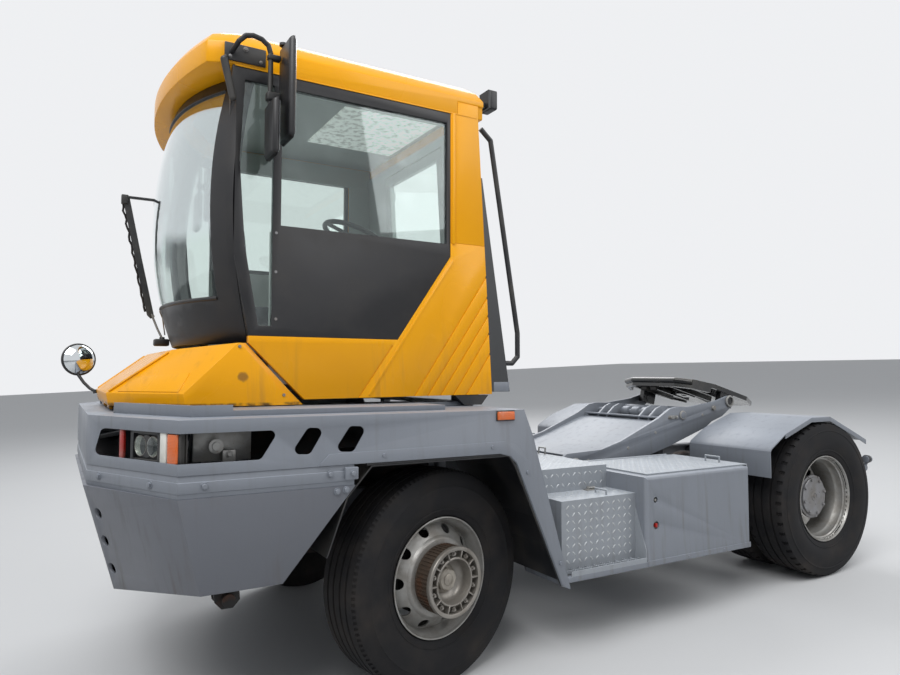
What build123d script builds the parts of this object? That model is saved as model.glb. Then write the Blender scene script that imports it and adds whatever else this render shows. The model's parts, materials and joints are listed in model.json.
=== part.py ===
from build123d import *
from math import atan2, cos, degrees, radians, sin, tan
import os

os.makedirs("parts", exist_ok=True)

# Terminal tractor. Every length is in millimetres and every angle in degrees.
# The pieces are drawn in the level frame of the chassis: +X forward, +Y to the left, +Z up,
# with X = 0 under the rim of the front left wheel. At the end they are set on the ground,
# which tips the chassis nose up, and centred under the whole machine.

# Tyres and running gear
TYRE_R = 538.0
TYRE_WIDTH = 312.0
SHOULDER = 38.0
RIM_R = 285.0
RIM_LIP_R = 299.0
RIM_HALF = 127.0
SPINDLE_R = 48.0
REAR_SPINDLE_R = 55.0
DRUM_R = 205.0
FRONT_AXLE_X = 55.0
FRONT_AXLE_Z = TYRE_R
REAR_AXLE_X = -3035.0
REAR_AXLE_RISE = 140.0
FRONT_WHEEL_Y = 957.0
REAR_OUTER_Y = 1108.0
REAR_TWIN_PITCH = 350.0
KINGPIN_Y = 800.0
STEER_AT_REST = 11.6
RUN_GAP = 0.3
SWING_GAP = 6.0

# Chassis
RAIL_Y = 430.0
RAIL_WEB = 14.0
RAIL_FLANGE = 80.0
RAIL_TOP = 900.0
RAIL_BOTTOM = 612.0
RAIL_FRONT = 1180.0
RAIL_REAR = -3640.0
RAIL_KICK = 762.0
KICK_X = -2560.0

# Front shell, the pair of wings and the nose panel over the front wheels
HALF_WIDTH = 1250.0
SHELL_TOP = 1375.0
SHELL_BOTTOM = 1157.0
SHELL_WALL = 6.0
CORNER_X = 1280.0
NOSE_X = 1570.0
NOSE_Y = 645.0
WING_REAR_X = -391.0
WING_INNER_Y = 700.0
LEG_FOOT_X = -690.0
LEG_FOOT_Z = 420.0
LEG_KNEE_X = -448.0
LEG_KNEE_Z = 1236.0
ARCH_FRONT_X = 510.0
LAMP_SILL_Z = 1203.0
LAMP_HEAD_Z = 1322.0
TRIM_PROUD = 4.5

# Lower bumper, a hollow plough-shaped box, and the bolted rail above it
BUMPER_TOP = 1065.0
BUMPER_BOTTOM = 683.0
BUMPER_TOE_Z = 602.0
BUMPER_REAR_TOP_X = 535.0
BUMPER_REAR_BOTTOM_X = 858.0
BUMPER_CORNER_X = 1280.0
BUMPER_NOSE_X = 1582.0
BUMPER_NOSE_BACK = 132.0
BUMPER_CORNER_BACK = 95.0
BUMPER_WALL = 12.0

# Cab
CAB_Y = 800.0
CAB_WALL = 38.0
CAB_BOTTOM = 1440.0
CAB_FLOOR = 1500.0
CAB_REAR_BOTTOM_X = -494.0
CAB_REAR_TOP_X = -400.0
CAB_ROOF = 3250.0
ROOF_DEPTH = 200.0
CAB_EAVES = CAB_ROOF - ROOF_DEPTH
SILL_Z = 1740.0
BELT_Z = 2218.0
GLASS_BOTTOM = 2290.0
GLASS_TOP = CAB_EAVES - 65.0
GLASS_THICK = 6.0
PILLAR_REAR_X = -215.0
PILLAR_MID_X = 790.0
PILLAR_WIDTH = 35.0
DOOR_SILL_FRONT_X = 113.0
HOOD_BOTTOM = 1405.0
HOOD_CREASE = 1465.0
HOOD_TOP = 1705.0
HOOD_CORNER_X = 1196.0
HOOD_NOSE_X = 1488.0
HOOD_NOSE_Y = 430.0
HOOD_TOP_CORNER_X = 954.0
HOOD_TOP_NOSE_X = 1167.0
HOOD_WALL = 30.0
SCREEN_AXIS_X = -80.0
SCREEN_BULGE_R = 1328.0
SCREEN_ANGLE = 30.0
SURROUND_ANGLE = 36.5
PLINTH_TOP = 1399.7
PLINTH_Y = 1079.0
PLINTH_LIP = 24.0
FIN_FOOT = 1454.0
FIN_HEAD = 2700.0
FIN_TOE_X = -620.0
CAB_HINGE_X = 1452.0
CAB_HINGE_Z = 1390.0
CAB_HINGE_R = 11.0
CAB_HINGE_Y = 200.0
GROOVE_WIDTH = 9.0
GROOVE_DEPTH = 5.0
BEAD_PROUD = 4.0
VISOR_NOSE_X = 1240.0
VISOR_CORNER_X = 1115.0
VISOR_CORNER_Y = 763.0
ROOF_NOTCH_X = -263.0

# Rear door in the back wall of the cab
DOOR_HALF = 415.0
DOOR_BOTTOM = 1520.0
DOOR_TOP = CAB_EAVES - 60.0
DOOR_GAP = 8.0
DOOR_HINGES = (1700.0, 2300.0, 2850.0)
HINGE_OUT = 12.0
HINGE_R = 9.0

# Lift boom and fifth wheel
BOOM_Y = 465.0
BOOM_PLATE = 25.0
BOOM_PIVOT_X = -1400.0
BOOM_PIVOT_Z = 935.0
BOOM_PIN_R = 30.0
LIFT_PIN_X = -2470.0
LIFT_PIN_Z = 1240.0
LIFT_FOOT_X = -2420.0
LIFT_FOOT_Z = 670.0
LIFT_Y = 230.0
LIFT_PIN_R = 25.0
LIFT_EYE_PLAY = 2.8
PLATE_PIVOT_X = -3020.0
PLATE_PIVOT_Z = 1335.0
PLATE_HEIGHT = 95.0
PLATE_TILT = 15.0
PLATE_HALF = 450.0
KINGPIN_R = 25.7

# Side boxes, steps and mudguards
BOX_FRONT_X = -1255.0
BOX_REAR_X = -2180.0
BOX_BOTTOM = 480.0
BOX_TOP = 960.0
BOX_INNER_Y = 570.0
LID_THICK = 8.0
LID_HINGE_R = 8.0
BOX_ROUND = 22.0
STEP_FRONT_X = -700.0
GUARD_INNER_Y = 590.0
GUARD_PLATE = 6.0
GUARD_AHEAD = 97.0
GUARD_ABOVE = 36.0


def block(x0, x1, y0, y1, z0, z1):
    """A plain box between two corners."""
    middle = ((x0 + x1) / 2, (y0 + y1) / 2, (z0 + z1) / 2)
    return Pos(*middle) * Box(abs(x1 - x0), abs(y1 - y0), abs(z1 - z0))


def slab(points, y0, y1):
    """An outline of (x, z) points, cut from plate that spans y0 to y1."""
    outline = Polyline(*[(x, y0, z) for x, z in points], close=True)
    return extrude(make_face(outline), amount=y1 - y0, dir=(0, 1, 0))


def deck(points, z0, z1):
    """An outline of (x, y) points, cut from plate that spans z0 to z1."""
    outline = Polyline(*[(x, y, z0) for x, y in points], close=True)
    return extrude(make_face(outline), amount=z1 - z0, dir=(0, 0, 1))


def bar_y(x, z, radius, y0, y1):
    """A round bar across the machine."""
    return Pos(x, (y0 + y1) / 2, z) * Rot(90, 0, 0) * Cylinder(radius, abs(y1 - y0))


def bar_x(y, z, radius, x0, x1):
    """A round bar along the machine."""
    return Pos((x0 + x1) / 2, y, z) * Rot(0, 90, 0) * Cylinder(radius, abs(x1 - x0))


def rounded_slab(points, radius, y0, y1):
    """An outline of (x, z) points with every corner rounded, cut from plate that spans y0 to y1."""
    bends = []
    for index, (x, z) in enumerate(points):
        corner = Vector(x, y0, z)
        back = Vector(points[index - 1][0], y0, points[index - 1][1]) - corner
        ahead = Vector(points[(index + 1) % len(points)][0], y0, points[(index + 1) % len(points)][1]) - corner
        half = radians(back.get_angle(ahead)) / 2
        middle = (back.normalized() + ahead.normalized()).normalized()
        bends.append((corner + back.normalized() * (radius / tan(half)),
                      corner + middle * (radius / sin(half) - radius),
                      corner + ahead.normalized() * (radius / tan(half))))
    edges = [ThreePointArc(*bend) for bend in bends]
    edges += [Line(bend[2], bends[(index + 1) % len(bends)][0]) for index, bend in enumerate(bends)]
    return extrude(make_face(edges), amount=y1 - y0, dir=(0, 1, 0))


def stripe(start, end, width, y0, y1):
    """A straight strip of plate between two (x, z) points."""
    along = Vector(end[0] - start[0], 0, end[1] - start[1]).normalized()
    side = Vector(along.Z, 0, -along.X) * (width / 2)
    return slab([(start[0] + side.X, start[1] + side.Z), (end[0] + side.X, end[1] + side.Z),
                 (end[0] - side.X, end[1] - side.Z), (start[0] - side.X, start[1] - side.Z)], y0, y1)


def rod(start, end, radius):
    """A round bar between two points."""
    line = Line(start, end)
    return sweep(Plane(origin=start, z_dir=line % 0) * Circle(radius), path=line)


def mirrored(piece):
    """The same piece on the right-hand side."""
    return mirror(piece, about=Plane.XZ)


def pair(piece):
    """A piece and its mirror image, as one."""
    return piece + mirrored(piece)


def turned_profile(points, x, y, z):
    """A ring about a cross axle, from (radius, offset) points measured at the wheel's centre."""
    outline = Polyline(*[(r, w, 0) for r, w in points], close=True)
    ring = revolve(make_face(outline), axis=Axis.Y)
    return Pos(x, y, z) * ring


def tyre(x, y, z):
    """A truck tyre: flat tread, round shoulders and walls that swell between bead and shoulder."""
    tread = TYRE_WIDTH / 2 - SHOULDER
    bead = RIM_HALF - 18
    seat = RIM_R + RUN_GAP
    wall = TYRE_WIDTH / 2
    half = [
        Line((seat, 0), (seat, bead)),
        Line((seat, bead), (RIM_LIP_R + 1, bead)),
        Line((RIM_LIP_R + 1, bead), (RIM_LIP_R + 1, RIM_HALF - 4)),
        ThreePointArc((RIM_LIP_R + 1, RIM_HALF - 4), (RIM_R + 105, wall - 1), (TYRE_R - 60, wall - 12)),
        ThreePointArc((TYRE_R - 60, wall - 12), (TYRE_R - 22, wall - 17), (TYRE_R, tread)),
        Line((TYRE_R, tread), (TYRE_R, 0)),
        Line((TYRE_R, 0), (seat, 0)),
    ]
    section = make_face(half)
    ring = revolve(section, axis=Axis.Y)
    ring = ring + mirror(ring, about=Plane.XZ)
    return Pos(x, y, z) * ring


def front_wheel():
    """The left front wheel, pointing straight ahead: tyre, and rim with its hub ring and cap."""
    centre = (FRONT_AXLE_X, FRONT_WHEEL_Y, FRONT_AXLE_Z)
    rubber = tyre(*centre)
    lip = RIM_HALF
    section = [
        (RIM_LIP_R, lip), (RIM_LIP_R, lip - 12), (RIM_R, lip - 16), (RIM_R - 12, 60),
        (RIM_R - 12, -60), (RIM_R, -lip + 16), (RIM_LIP_R, -lip + 12), (RIM_LIP_R, -lip),
        (RIM_R - 8, -lip), (RIM_R - 24, -50), (RIM_R - 24, 70), (205, 108),
        (150, 116), (150, 132), (205, 124), (RIM_R - 14, 84), (RIM_R - 10, lip),
    ]
    rim = turned_profile(section, *centre)
    hole_ring = RIM_R - 52
    for spoke in range(10):
        turn = radians(36 * spoke)
        at = (centre[0] + hole_ring * cos(turn), 0, centre[2] + hole_ring * sin(turn))
        rim -= bar_y(at[0], at[2], 25, centre[1] + 60, centre[1] + 160)
    hub = turned_profile([(SPINDLE_R + RUN_GAP, 40), (SPINDLE_R + RUN_GAP, 140), (85, 150), (85, 232), (112, 238),
                          (150, 236), (172, 222), (172, 132), (90, 116), (90, 40)], *centre)
    cap = turned_profile([(0, 130), (0, 268), (52, 268), (60, 262), (60, 130)], *centre)
    rim += hub + cap
    for nut in range(10):
        turn = radians(36 * nut + 18)
        x = centre[0] + 140 * cos(turn)
        z = centre[2] + 140 * sin(turn)
        rim += bar_y(x, z, 16, centre[1] + 225, centre[1] + 252)
    return rubber, rim


def rear_wheel():
    """The left rear twin wheel: two tyres, and the deep rims on one hub."""
    rise = FRONT_AXLE_Z + REAR_AXLE_RISE
    outer = (REAR_AXLE_X, REAR_OUTER_Y, rise)
    inner = (REAR_AXLE_X, REAR_OUTER_Y - REAR_TWIN_PITCH, rise)
    tyres = Compound([tyre(*outer), tyre(*inner)])
    lip = RIM_HALF
    dish = -REAR_TWIN_PITCH / 2
    well = [
        (RIM_LIP_R, lip), (RIM_LIP_R, lip - 12), (RIM_R, lip - 16), (RIM_R - 12, 50),
        (RIM_R - 12, -60), (RIM_R, -lip + 16), (RIM_LIP_R, -lip + 12), (RIM_LIP_R, -lip),
        (RIM_R - 10, -lip), (RIM_R - 26, -50), (RIM_R - 26, 40), (RIM_R - 10, lip),
    ]
    rim = turned_profile(well, *outer)
    web = [(RIM_R - 8, -92), (RIM_R - 40, -112), (180, dish + 22), (90, dish + 22),
           (90, dish), (180, dish), (RIM_R - 40, dish + 14), (RIM_R - 8, -124)]
    rim += turned_profile(web, *outer)
    mirror_plane = Plane.XZ.offset(-(REAR_OUTER_Y + dish))
    rim += mirror(rim, about=mirror_plane)
    bore = REAR_SPINDLE_R + RUN_GAP
    hub = turned_profile([(bore, -300), (bore, -70), (0, -70), (0, -40), (62, -40), (70, -52), (112, -60),
                          (118, -72), (118, -310), (DRUM_R, -312), (DRUM_R, -480), (DRUM_R - 15, -480),
                          (DRUM_R - 15, -325), (bore, -325)], *outer)
    rim += hub
    for bolt in range(8):
        turn = radians(45 * bolt)
        x = outer[0] + 92 * cos(turn)
        z = outer[2] + 92 * sin(turn)
        rim += bar_y(x, z, 10, outer[1] - 62, outer[1] - 46)
    return tyres, rim


def steered(piece):
    """Turn a left-hand piece about its kingpin to the rest position of the steering."""
    pin = Pos(FRONT_AXLE_X, KINGPIN_Y, 0)
    return pin * Rot(0, 0, STEER_AT_REST) * Pos(-FRONT_AXLE_X, -KINGPIN_Y, 0) * piece


def steered_right(piece):
    """Turn a right-hand piece about its kingpin by the same angle."""
    pin = Pos(FRONT_AXLE_X, -KINGPIN_Y, 0)
    return pin * Rot(0, 0, STEER_AT_REST) * Pos(-FRONT_AXLE_X, KINGPIN_Y, 0) * piece


def knuckle():
    """The left steering knuckle: kingpin post, stub axle, brake drum and rear steering arm."""
    post = Pos(FRONT_AXLE_X, KINGPIN_Y, FRONT_AXLE_Z) * Cylinder(42, 90 + 2 * 60)
    post -= Pos(FRONT_AXLE_X, KINGPIN_Y, FRONT_AXLE_Z) * Cylinder(50, 112)
    pin = Pos(FRONT_AXLE_X, KINGPIN_Y, FRONT_AXLE_Z) * Cylinder(24, 210)
    yoke = block(FRONT_AXLE_X - 45, FRONT_AXLE_X + 45, KINGPIN_Y + 52, KINGPIN_Y + 84,
                 FRONT_AXLE_Z - 105, FRONT_AXLE_Z + 105)
    ears = block(FRONT_AXLE_X - 40, FRONT_AXLE_X + 40, KINGPIN_Y, KINGPIN_Y + 84,
                 FRONT_AXLE_Z + 56, FRONT_AXLE_Z + 105)
    ears += block(FRONT_AXLE_X - 40, FRONT_AXLE_X + 40, KINGPIN_Y, KINGPIN_Y + 84,
                  FRONT_AXLE_Z - 105, FRONT_AXLE_Z - 56)
    stub = bar_y(FRONT_AXLE_X, FRONT_AXLE_Z, SPINDLE_R, KINGPIN_Y + 84, FRONT_WHEEL_Y + 120)
    drum = bar_y(FRONT_AXLE_X, FRONT_AXLE_Z, DRUM_R, KINGPIN_Y + 60, FRONT_WHEEL_Y + 30)
    arm = block(FRONT_AXLE_X - 260, FRONT_AXLE_X, KINGPIN_Y - 30, KINGPIN_Y + 30,
                FRONT_AXLE_Z - 105, FRONT_AXLE_Z - 70)
    arm -= Pos(FRONT_AXLE_X - 230, KINGPIN_Y, FRONT_AXLE_Z - 88) * Cylinder(14, 60)
    return post + pin + yoke + ears + stub + drum + arm


def tie_rod():
    """The track rod behind the axle, with a ball end over each steering arm."""
    turn = radians(STEER_AT_REST)
    x = FRONT_AXLE_X - 230 * cos(turn)
    shift = -230 * sin(turn)
    z = FRONT_AXLE_Z - 88
    bar = bar_y(x, z + 47, 17, -KINGPIN_Y + shift, KINGPIN_Y + shift)
    for side in (-1, 1):
        bar += Pos(x, side * KINGPIN_Y + shift, z + 47) * Sphere(27)
        bar += Pos(x, side * KINGPIN_Y + shift, z + 17) * Cylinder(13.6, 66)
    return bar


def frame_rails():
    """Two channel rails with their posts and brackets."""
    web = slab([(RAIL_FRONT, RAIL_BOTTOM), (RAIL_FRONT, RAIL_TOP), (RAIL_REAR, RAIL_TOP),
                (RAIL_REAR, RAIL_KICK), (KICK_X - 130, RAIL_KICK), (KICK_X, RAIL_BOTTOM)],
               RAIL_Y - RAIL_FLANGE, RAIL_Y)
    pocket = slab([(RAIL_FRONT + 1, RAIL_BOTTOM + RAIL_WEB), (RAIL_FRONT + 1, RAIL_TOP - RAIL_WEB),
                   (RAIL_REAR - 1, RAIL_TOP - RAIL_WEB), (RAIL_REAR - 1, RAIL_KICK + RAIL_WEB),
                   (KICK_X - 126, RAIL_KICK + RAIL_WEB), (KICK_X + 4, RAIL_BOTTOM + RAIL_WEB)],
                  RAIL_Y - RAIL_FLANGE - 1, RAIL_Y - RAIL_WEB)
    rail = web - pocket
    for x in (1070, -370):
        rail += block(x - 25, x + 25, RAIL_Y - 60, RAIL_Y, RAIL_TOP - 10, SHELL_TOP)
    for x in (BOX_FRONT_X - 160, BOX_REAR_X + 120):
        rail += block(x - 25, x + 25, RAIL_Y - 2, BOX_INNER_Y - RUN_GAP, RAIL_BOTTOM + 30, RAIL_TOP - 30)
    rail += block(BOOM_PIVOT_X - 60, BOOM_PIVOT_X + 60, RAIL_Y - 75, RAIL_Y - 45, RAIL_TOP - 60, BOOM_PIVOT_Z + 45)
    rail += block(BOOM_PIVOT_X - 60, BOOM_PIVOT_X + 60, RAIL_Y - 75, RAIL_Y - 4, RAIL_TOP - 60, RAIL_TOP - 10)
    rail += bar_y(BOOM_PIVOT_X, BOOM_PIVOT_Z, BOOM_PIN_R, RAIL_Y - 60, BOOM_Y + 6)
    return pair(rail)


def frame_crossmembers():
    """Cross tubes between the rails, and the plate beneath them that carries the lift cylinders."""
    reach = RAIL_Y - RAIL_WEB - RUN_GAP
    members = Compound([bar_y(x, z, size, -reach, reach) for x, z, size in (
        (RAIL_FRONT - 90, 740, 60), (-620, 740, 60), (-1180, 740, 60), (-2080, 740, 60), (-3560, 831, 46))])
    carrier = block(LIFT_FOOT_X - 70, LIFT_FOOT_X + 70, -RAIL_Y + 4, RAIL_Y - 4, RAIL_BOTTOM - 40, RAIL_BOTTOM - 18)
    carrier += pair(block(LIFT_FOOT_X - 70, LIFT_FOOT_X + 70, RAIL_Y - 60, RAIL_Y - 4,
                          RAIL_BOTTOM - 40, RAIL_BOTTOM - RUN_GAP))
    for y in (-LIFT_Y, LIFT_Y):
        for off in (-62, 62):
            carrier += slab([(LIFT_FOOT_X - 60, RAIL_BOTTOM - 20), (LIFT_FOOT_X + 60, RAIL_BOTTOM - 20),
                             (LIFT_FOOT_X + 40, LIFT_FOOT_Z + 40), (LIFT_FOOT_X - 40, LIFT_FOOT_Z + 40)],
                            y + off - 10, y + off + 10)
        carrier += bar_y(LIFT_FOOT_X, LIFT_FOOT_Z, LIFT_PIN_R, y - 79, y + 79)
    return Compound([*members.solids(), *carrier.solids()])


def engine():
    """The engine as one plain block between the rails, under the cab."""
    block_y = RAIL_Y - RAIL_FLANGE - 20
    mass = block(-330, 780, -block_y, block_y, 640, 1280)
    mount_y = RAIL_Y - RAIL_FLANGE - RUN_GAP
    for x in (-250, 600):
        mass += block(x, x + 100, -mount_y, mount_y, RAIL_TOP - RAIL_WEB, RAIL_TOP)
    return mass


def front_axle():
    """The drop-forged front axle beam with an eye for each kingpin."""
    beam = slab([(FRONT_AXLE_X - 45, 440), (FRONT_AXLE_X + 45, 440), (FRONT_AXLE_X + 45, 555),
                 (FRONT_AXLE_X - 45, 555)], -700, 700)
    beam += pair(Pos(FRONT_AXLE_X, KINGPIN_Y, FRONT_AXLE_Z) * Cylinder(44, 108))
    beam += pair(block(FRONT_AXLE_X - 42, FRONT_AXLE_X + 42, 680, KINGPIN_Y,
                       FRONT_AXLE_Z - 54, FRONT_AXLE_Z + 30))
    beam -= pair(Pos(FRONT_AXLE_X, KINGPIN_Y, FRONT_AXLE_Z) * Cylinder(24.5, 120))
    return beam


def front_spring():
    """One leaf spring, three leaves with its shackle ends, clamped on the axle beam."""
    y = RAIL_Y - 40
    low = 555 + RUN_GAP
    leaf = block(FRONT_AXLE_X - 620, FRONT_AXLE_X + 620, y - 38, y + 38, low + 36, low + 52)
    leaf += block(FRONT_AXLE_X - 450, FRONT_AXLE_X + 450, y - 38, y + 38, low + 18, low + 36)
    leaf += block(FRONT_AXLE_X - 300, FRONT_AXLE_X + 300, y - 38, y + 38, low, low + 18)
    for x in (FRONT_AXLE_X - 620, FRONT_AXLE_X + 620):
        leaf += bar_y(x, low + 30, 26.2, y - 38, y + 38)
    return pair(leaf)


def rear_axle():
    """The rear axle casing: drop box in the middle, a tube each side, on two saddle blocks."""
    z = FRONT_AXLE_Z + REAR_AXLE_RISE
    spindle = REAR_OUTER_Y - 75
    axle = bar_y(REAR_AXLE_X, z, 70, -600, 600)
    axle += bar_y(REAR_AXLE_X, z, REAR_SPINDLE_R, -spindle, spindle)
    axle += Pos(REAR_AXLE_X, 0, z) * Sphere(215)
    axle += pair(bar_y(REAR_AXLE_X, z, DRUM_R - 22, 590, 620))
    axle += pair(block(REAR_AXLE_X - 95, REAR_AXLE_X + 95, RAIL_Y - RAIL_FLANGE, RAIL_Y, z, RAIL_KICK - RUN_GAP))
    return axle


def plan(inset, z0, z1):
    """The outline of the front shell seen from above, drawn in by inset on every side."""
    slope = atan2(NOSE_X - CORNER_X, HALF_WIDTH - NOSE_Y)
    side = HALF_WIDTH - inset
    nose = NOSE_X - inset
    corner = CORNER_X - inset * tan(slope / 2)
    nose_y = NOSE_Y - inset * tan((radians(90) - slope) / 2)
    points = [(WING_REAR_X, -side), (corner, -side), (nose, -nose_y), (nose, nose_y),
              (corner, side), (WING_REAR_X, side)]
    return deck(points, z0, z1)


def front_shell():
    """Nose panel and both wings: a tray of plate, open below, with lamp openings, slots and arch trim."""
    tray = plan(0, SHELL_BOTTOM, SHELL_TOP)
    tray -= plan(SHELL_WALL, SHELL_BOTTOM - 1, SHELL_TOP - SHELL_WALL)
    tray -= block(WING_REAR_X - 1, WING_REAR_X + SHELL_WALL, -HALF_WIDTH + SHELL_WALL,
                  HALF_WIDTH - SHELL_WALL, SHELL_BOTTOM - 1, SHELL_TOP - SHELL_WALL)
    tray -= block(WING_REAR_X - 1, 1150, -WING_INNER_Y, WING_INNER_Y, SHELL_TOP - 20, SHELL_TOP + 1)
    opening = rounded_slab([(880, LAMP_HEAD_Z), (955, LAMP_SILL_Z), (1545, LAMP_SILL_Z), (1520, LAMP_HEAD_Z)],
                           22, 700, HALF_WIDTH + 10)
    tray -= pair(opening)
    for top_front, top_rear in ((757, 679), (564, 480)):
        slot = rounded_slab([(top_front, 1327), (top_rear, 1322), (top_rear + 66, 1212), (top_front + 76, 1217)],
                            24, HALF_WIDTH - 60, HALF_WIDTH + 10)
        tray -= pair(slot)
    leg = slab([(WING_REAR_X, SHELL_TOP), (LEG_KNEE_X, LEG_KNEE_Z), (LEG_FOOT_X, LEG_FOOT_Z), (-632, LEG_FOOT_Z + 22),
                (-340, 1105), (-300, 1140), (-240, SHELL_BOTTOM), (-240, SHELL_TOP)],
               HALF_WIDTH - SHELL_WALL, HALF_WIDTH)
    backing = slab([(WING_REAR_X, SHELL_TOP), (LEG_KNEE_X, LEG_KNEE_Z), (LEG_FOOT_X, LEG_FOOT_Z),
                    (LEG_FOOT_X + 8, LEG_FOOT_Z), (LEG_KNEE_X + 8, LEG_KNEE_Z), (WING_REAR_X + 8, SHELL_TOP)],
                   KINGPIN_Y + 60, HALF_WIDTH)
    trim = slab([(711, SHELL_BOTTOM + 2), (660, 1208), (-270, 1218), (-350, 1192), (-415, 1110), (-500, 885),
                 (-650, 452), (-633, 448), (-341, 1108), (-301, 1143), (-241, SHELL_BOTTOM + 2)],
                HALF_WIDTH - SHELL_WALL / 2, HALF_WIDTH + TRIM_PROUD)
    return tray + pair(leg + backing + trim)


def shell_part(y0, y1):
    """The stretch of the front shell between two joints in the sheet."""
    return front_shell() & block(-900, 1700, y0, y1, 300, 1500)


def arch_liner():
    """Black liner of the left wheel arch: a folded sheet inside the wing."""
    path = [(ARCH_FRONT_X + 156, 760), (ARCH_FRONT_X + 66, 1010), (ARCH_FRONT_X - 54, 1145),
            (-355, 1145), (-426, 1047), (-554, 792), (-606, 642), (-631, 470)]
    inner = [(-625, 470), (-600, 640), (-548, 790), (-420, 1045), (-352, 1139), (ARCH_FRONT_X - 57, 1139),
             (ARCH_FRONT_X + 60, 1008), (ARCH_FRONT_X + 150, 760)]
    return slab(path + inner, RAIL_Y + 60, HALF_WIDTH - SHELL_WALL - RUN_GAP)


def plough(inset):
    """The outer form of the lower bumper, with every face drawn in by inset."""
    rear_drop = (BUMPER_REAR_BOTTOM_X - BUMPER_REAR_TOP_X) / (BUMPER_TOP - BUMPER_BOTTOM)
    back = BUMPER_NOSE_BACK / (BUMPER_TOP - BUMPER_TOE_Z)
    top = BUMPER_TOP - inset
    points = [
        (BUMPER_REAR_TOP_X + inset * rear_drop - 2 * inset, top),
        (BUMPER_NOSE_X - inset * (1 + back), top),
        (BUMPER_NOSE_X - BUMPER_NOSE_BACK - inset, BUMPER_TOE_Z + inset * 1.3),
        (BUMPER_CORNER_X - BUMPER_CORNER_BACK, BUMPER_BOTTOM + inset),
        (BUMPER_REAR_BOTTOM_X - 2 * inset - inset * rear_drop, BUMPER_BOTTOM + inset),
    ]
    form = slab(points, -HALF_WIDTH + inset, HALF_WIDTH - inset)
    along = Vector(BUMPER_NOSE_X - BUMPER_CORNER_X, NOSE_Y - HALF_WIDTH, 0)
    down = Vector(-BUMPER_CORNER_BACK, 0, BUMPER_BOTTOM - BUMPER_TOP)
    normal = down.cross(along).normalized()
    if normal.X < 0:
        normal = normal * -1
    corner = Vector(BUMPER_CORNER_X, HALF_WIDTH, BUMPER_TOP) - normal * inset
    for side in (1, -1):
        face = Plane(origin=(corner.X, side * corner.Y, corner.Z),
                     z_dir=(normal.X, side * normal.Y, normal.Z))
        form = split(form, bisect_by=face, keep=Keep.BOTTOM)
    return form


def lower_bumper():
    """The plough-shaped bumper box, open towards the wheels, with three holes near each nose."""
    box = plough(0) - plough(BUMPER_WALL)
    for z, x in ((945, 1545), (823, 1511), (700, 1476)):
        hole = Pos(x - 30, NOSE_Y + 60, z) * Rot(0, 90, 60) * Cylinder(24, 260)
        box -= pair(hole)
    notch = RAIL_Y + RUN_GAP
    return box - block(0, RAIL_FRONT + RUN_GAP, -notch, notch, BUMPER_TOE_Z - 5, BUMPER_TOP + 5)


def bumper_rail():
    """The bolted strip between the shell and the lower bumper."""
    rail = plan(0, 1086, 1130) + plan(4, BUMPER_TOP + RUN_GAP, SHELL_BOTTOM - RUN_GAP)
    rail -= plan(14, 1000, 1200)
    rail -= block(-900, 540, -1400, 1400, 1000, 1200)
    return rail


def plinth():
    """Grey deck that the cab sits on, with a raised front edge and the lugs of the cab hinge."""
    low = SHELL_TOP + RUN_GAP
    diagonal = [(1203, PLINTH_Y), (1460, 554), (1460, 540), (1400, 540)]
    front = diagonal + [(x, -y) for x, y in diagonal[::-1]]
    board = deck(front + [(-20, -PLINTH_Y), (-20, PLINTH_Y)], low, PLINTH_TOP)
    board += deck([(-395, -755), (0, -755), (0, 755), (-395, 755)], low, PLINTH_TOP)
    board -= block(-330, 1000, -560, 560, 1300, 1500)
    lip = deck([(1034, PLINTH_Y), (1203, PLINTH_Y), (1460, 554), (1440, 554), (1192, PLINTH_Y - 16),
                (1034, PLINTH_Y - 16)], PLINTH_TOP - 20, PLINTH_TOP + PLINTH_LIP)
    board += pair(lip)
    pad_top = CAB_BOTTOM - RUN_GAP
    for y in (-650, 650):
        board += Pos(-350, y, (PLINTH_TOP + pad_top) / 2 - 1) * Cylinder(38, pad_top - PLINTH_TOP + 2)
    y0, y1 = CAB_HINGE_Y - 30, CAB_HINGE_Y + 30
    board += pair(block(1390, CAB_HINGE_X, y0, y1, CAB_HINGE_Z - 10, CAB_HINGE_Z + 10))
    board += pair(bar_y(CAB_HINGE_X, CAB_HINGE_Z, CAB_HINGE_R, y0, y1))
    return board


def leg_edge(z):
    """X of the sloping rear edge of the wing's leg at a height."""
    return LEG_FOOT_X + (LEG_KNEE_X - LEG_FOOT_X) * (z - LEG_FOOT_Z) / (LEG_KNEE_Z - LEG_FOOT_Z)


def side_box():
    """Left tool box body with rounded outer edges and the sill strip along its foot."""
    body = block(BOX_REAR_X, BOX_FRONT_X, BOX_INNER_Y, HALF_WIDTH, BOX_BOTTOM, BOX_TOP)
    top_edge = body.edges().filter_by(Axis.X).group_by(Axis.Z)[-1].sort_by(Axis.Y)[-1]
    corners = body.edges().filter_by(Axis.Z).group_by(Axis.Y)[-1]
    body = fillet([top_edge, *corners], BOX_ROUND)
    body -= block(BOX_REAR_X + 10, BOX_FRONT_X - 10, BOX_INNER_Y + 10, HALF_WIDTH - 10,
                  BOX_BOTTOM + 6, BOX_TOP - 20)
    body -= block(BOX_REAR_X + 60, BOX_FRONT_X - 70, BOX_INNER_Y + 40, HALF_WIDTH - 60,
                  BOX_TOP - 40, BOX_TOP + 5)
    body -= bar_y(BOX_FRONT_X - 76, 827, 17, HALF_WIDTH - 30, HALF_WIDTH + 30)
    body -= bar_y(BOX_FRONT_X - 77, 682, 23, HALF_WIDTH - 30, HALF_WIDTH + 30)
    low = BOX_BOTTOM - 28
    sill = slab([(BOX_REAR_X, low), (leg_edge(low) - RUN_GAP, low), (leg_edge(BOX_BOTTOM) - RUN_GAP, BOX_BOTTOM),
                 (BOX_REAR_X, BOX_BOTTOM)], HALF_WIDTH - 30, HALF_WIDTH)
    return body + sill


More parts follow.
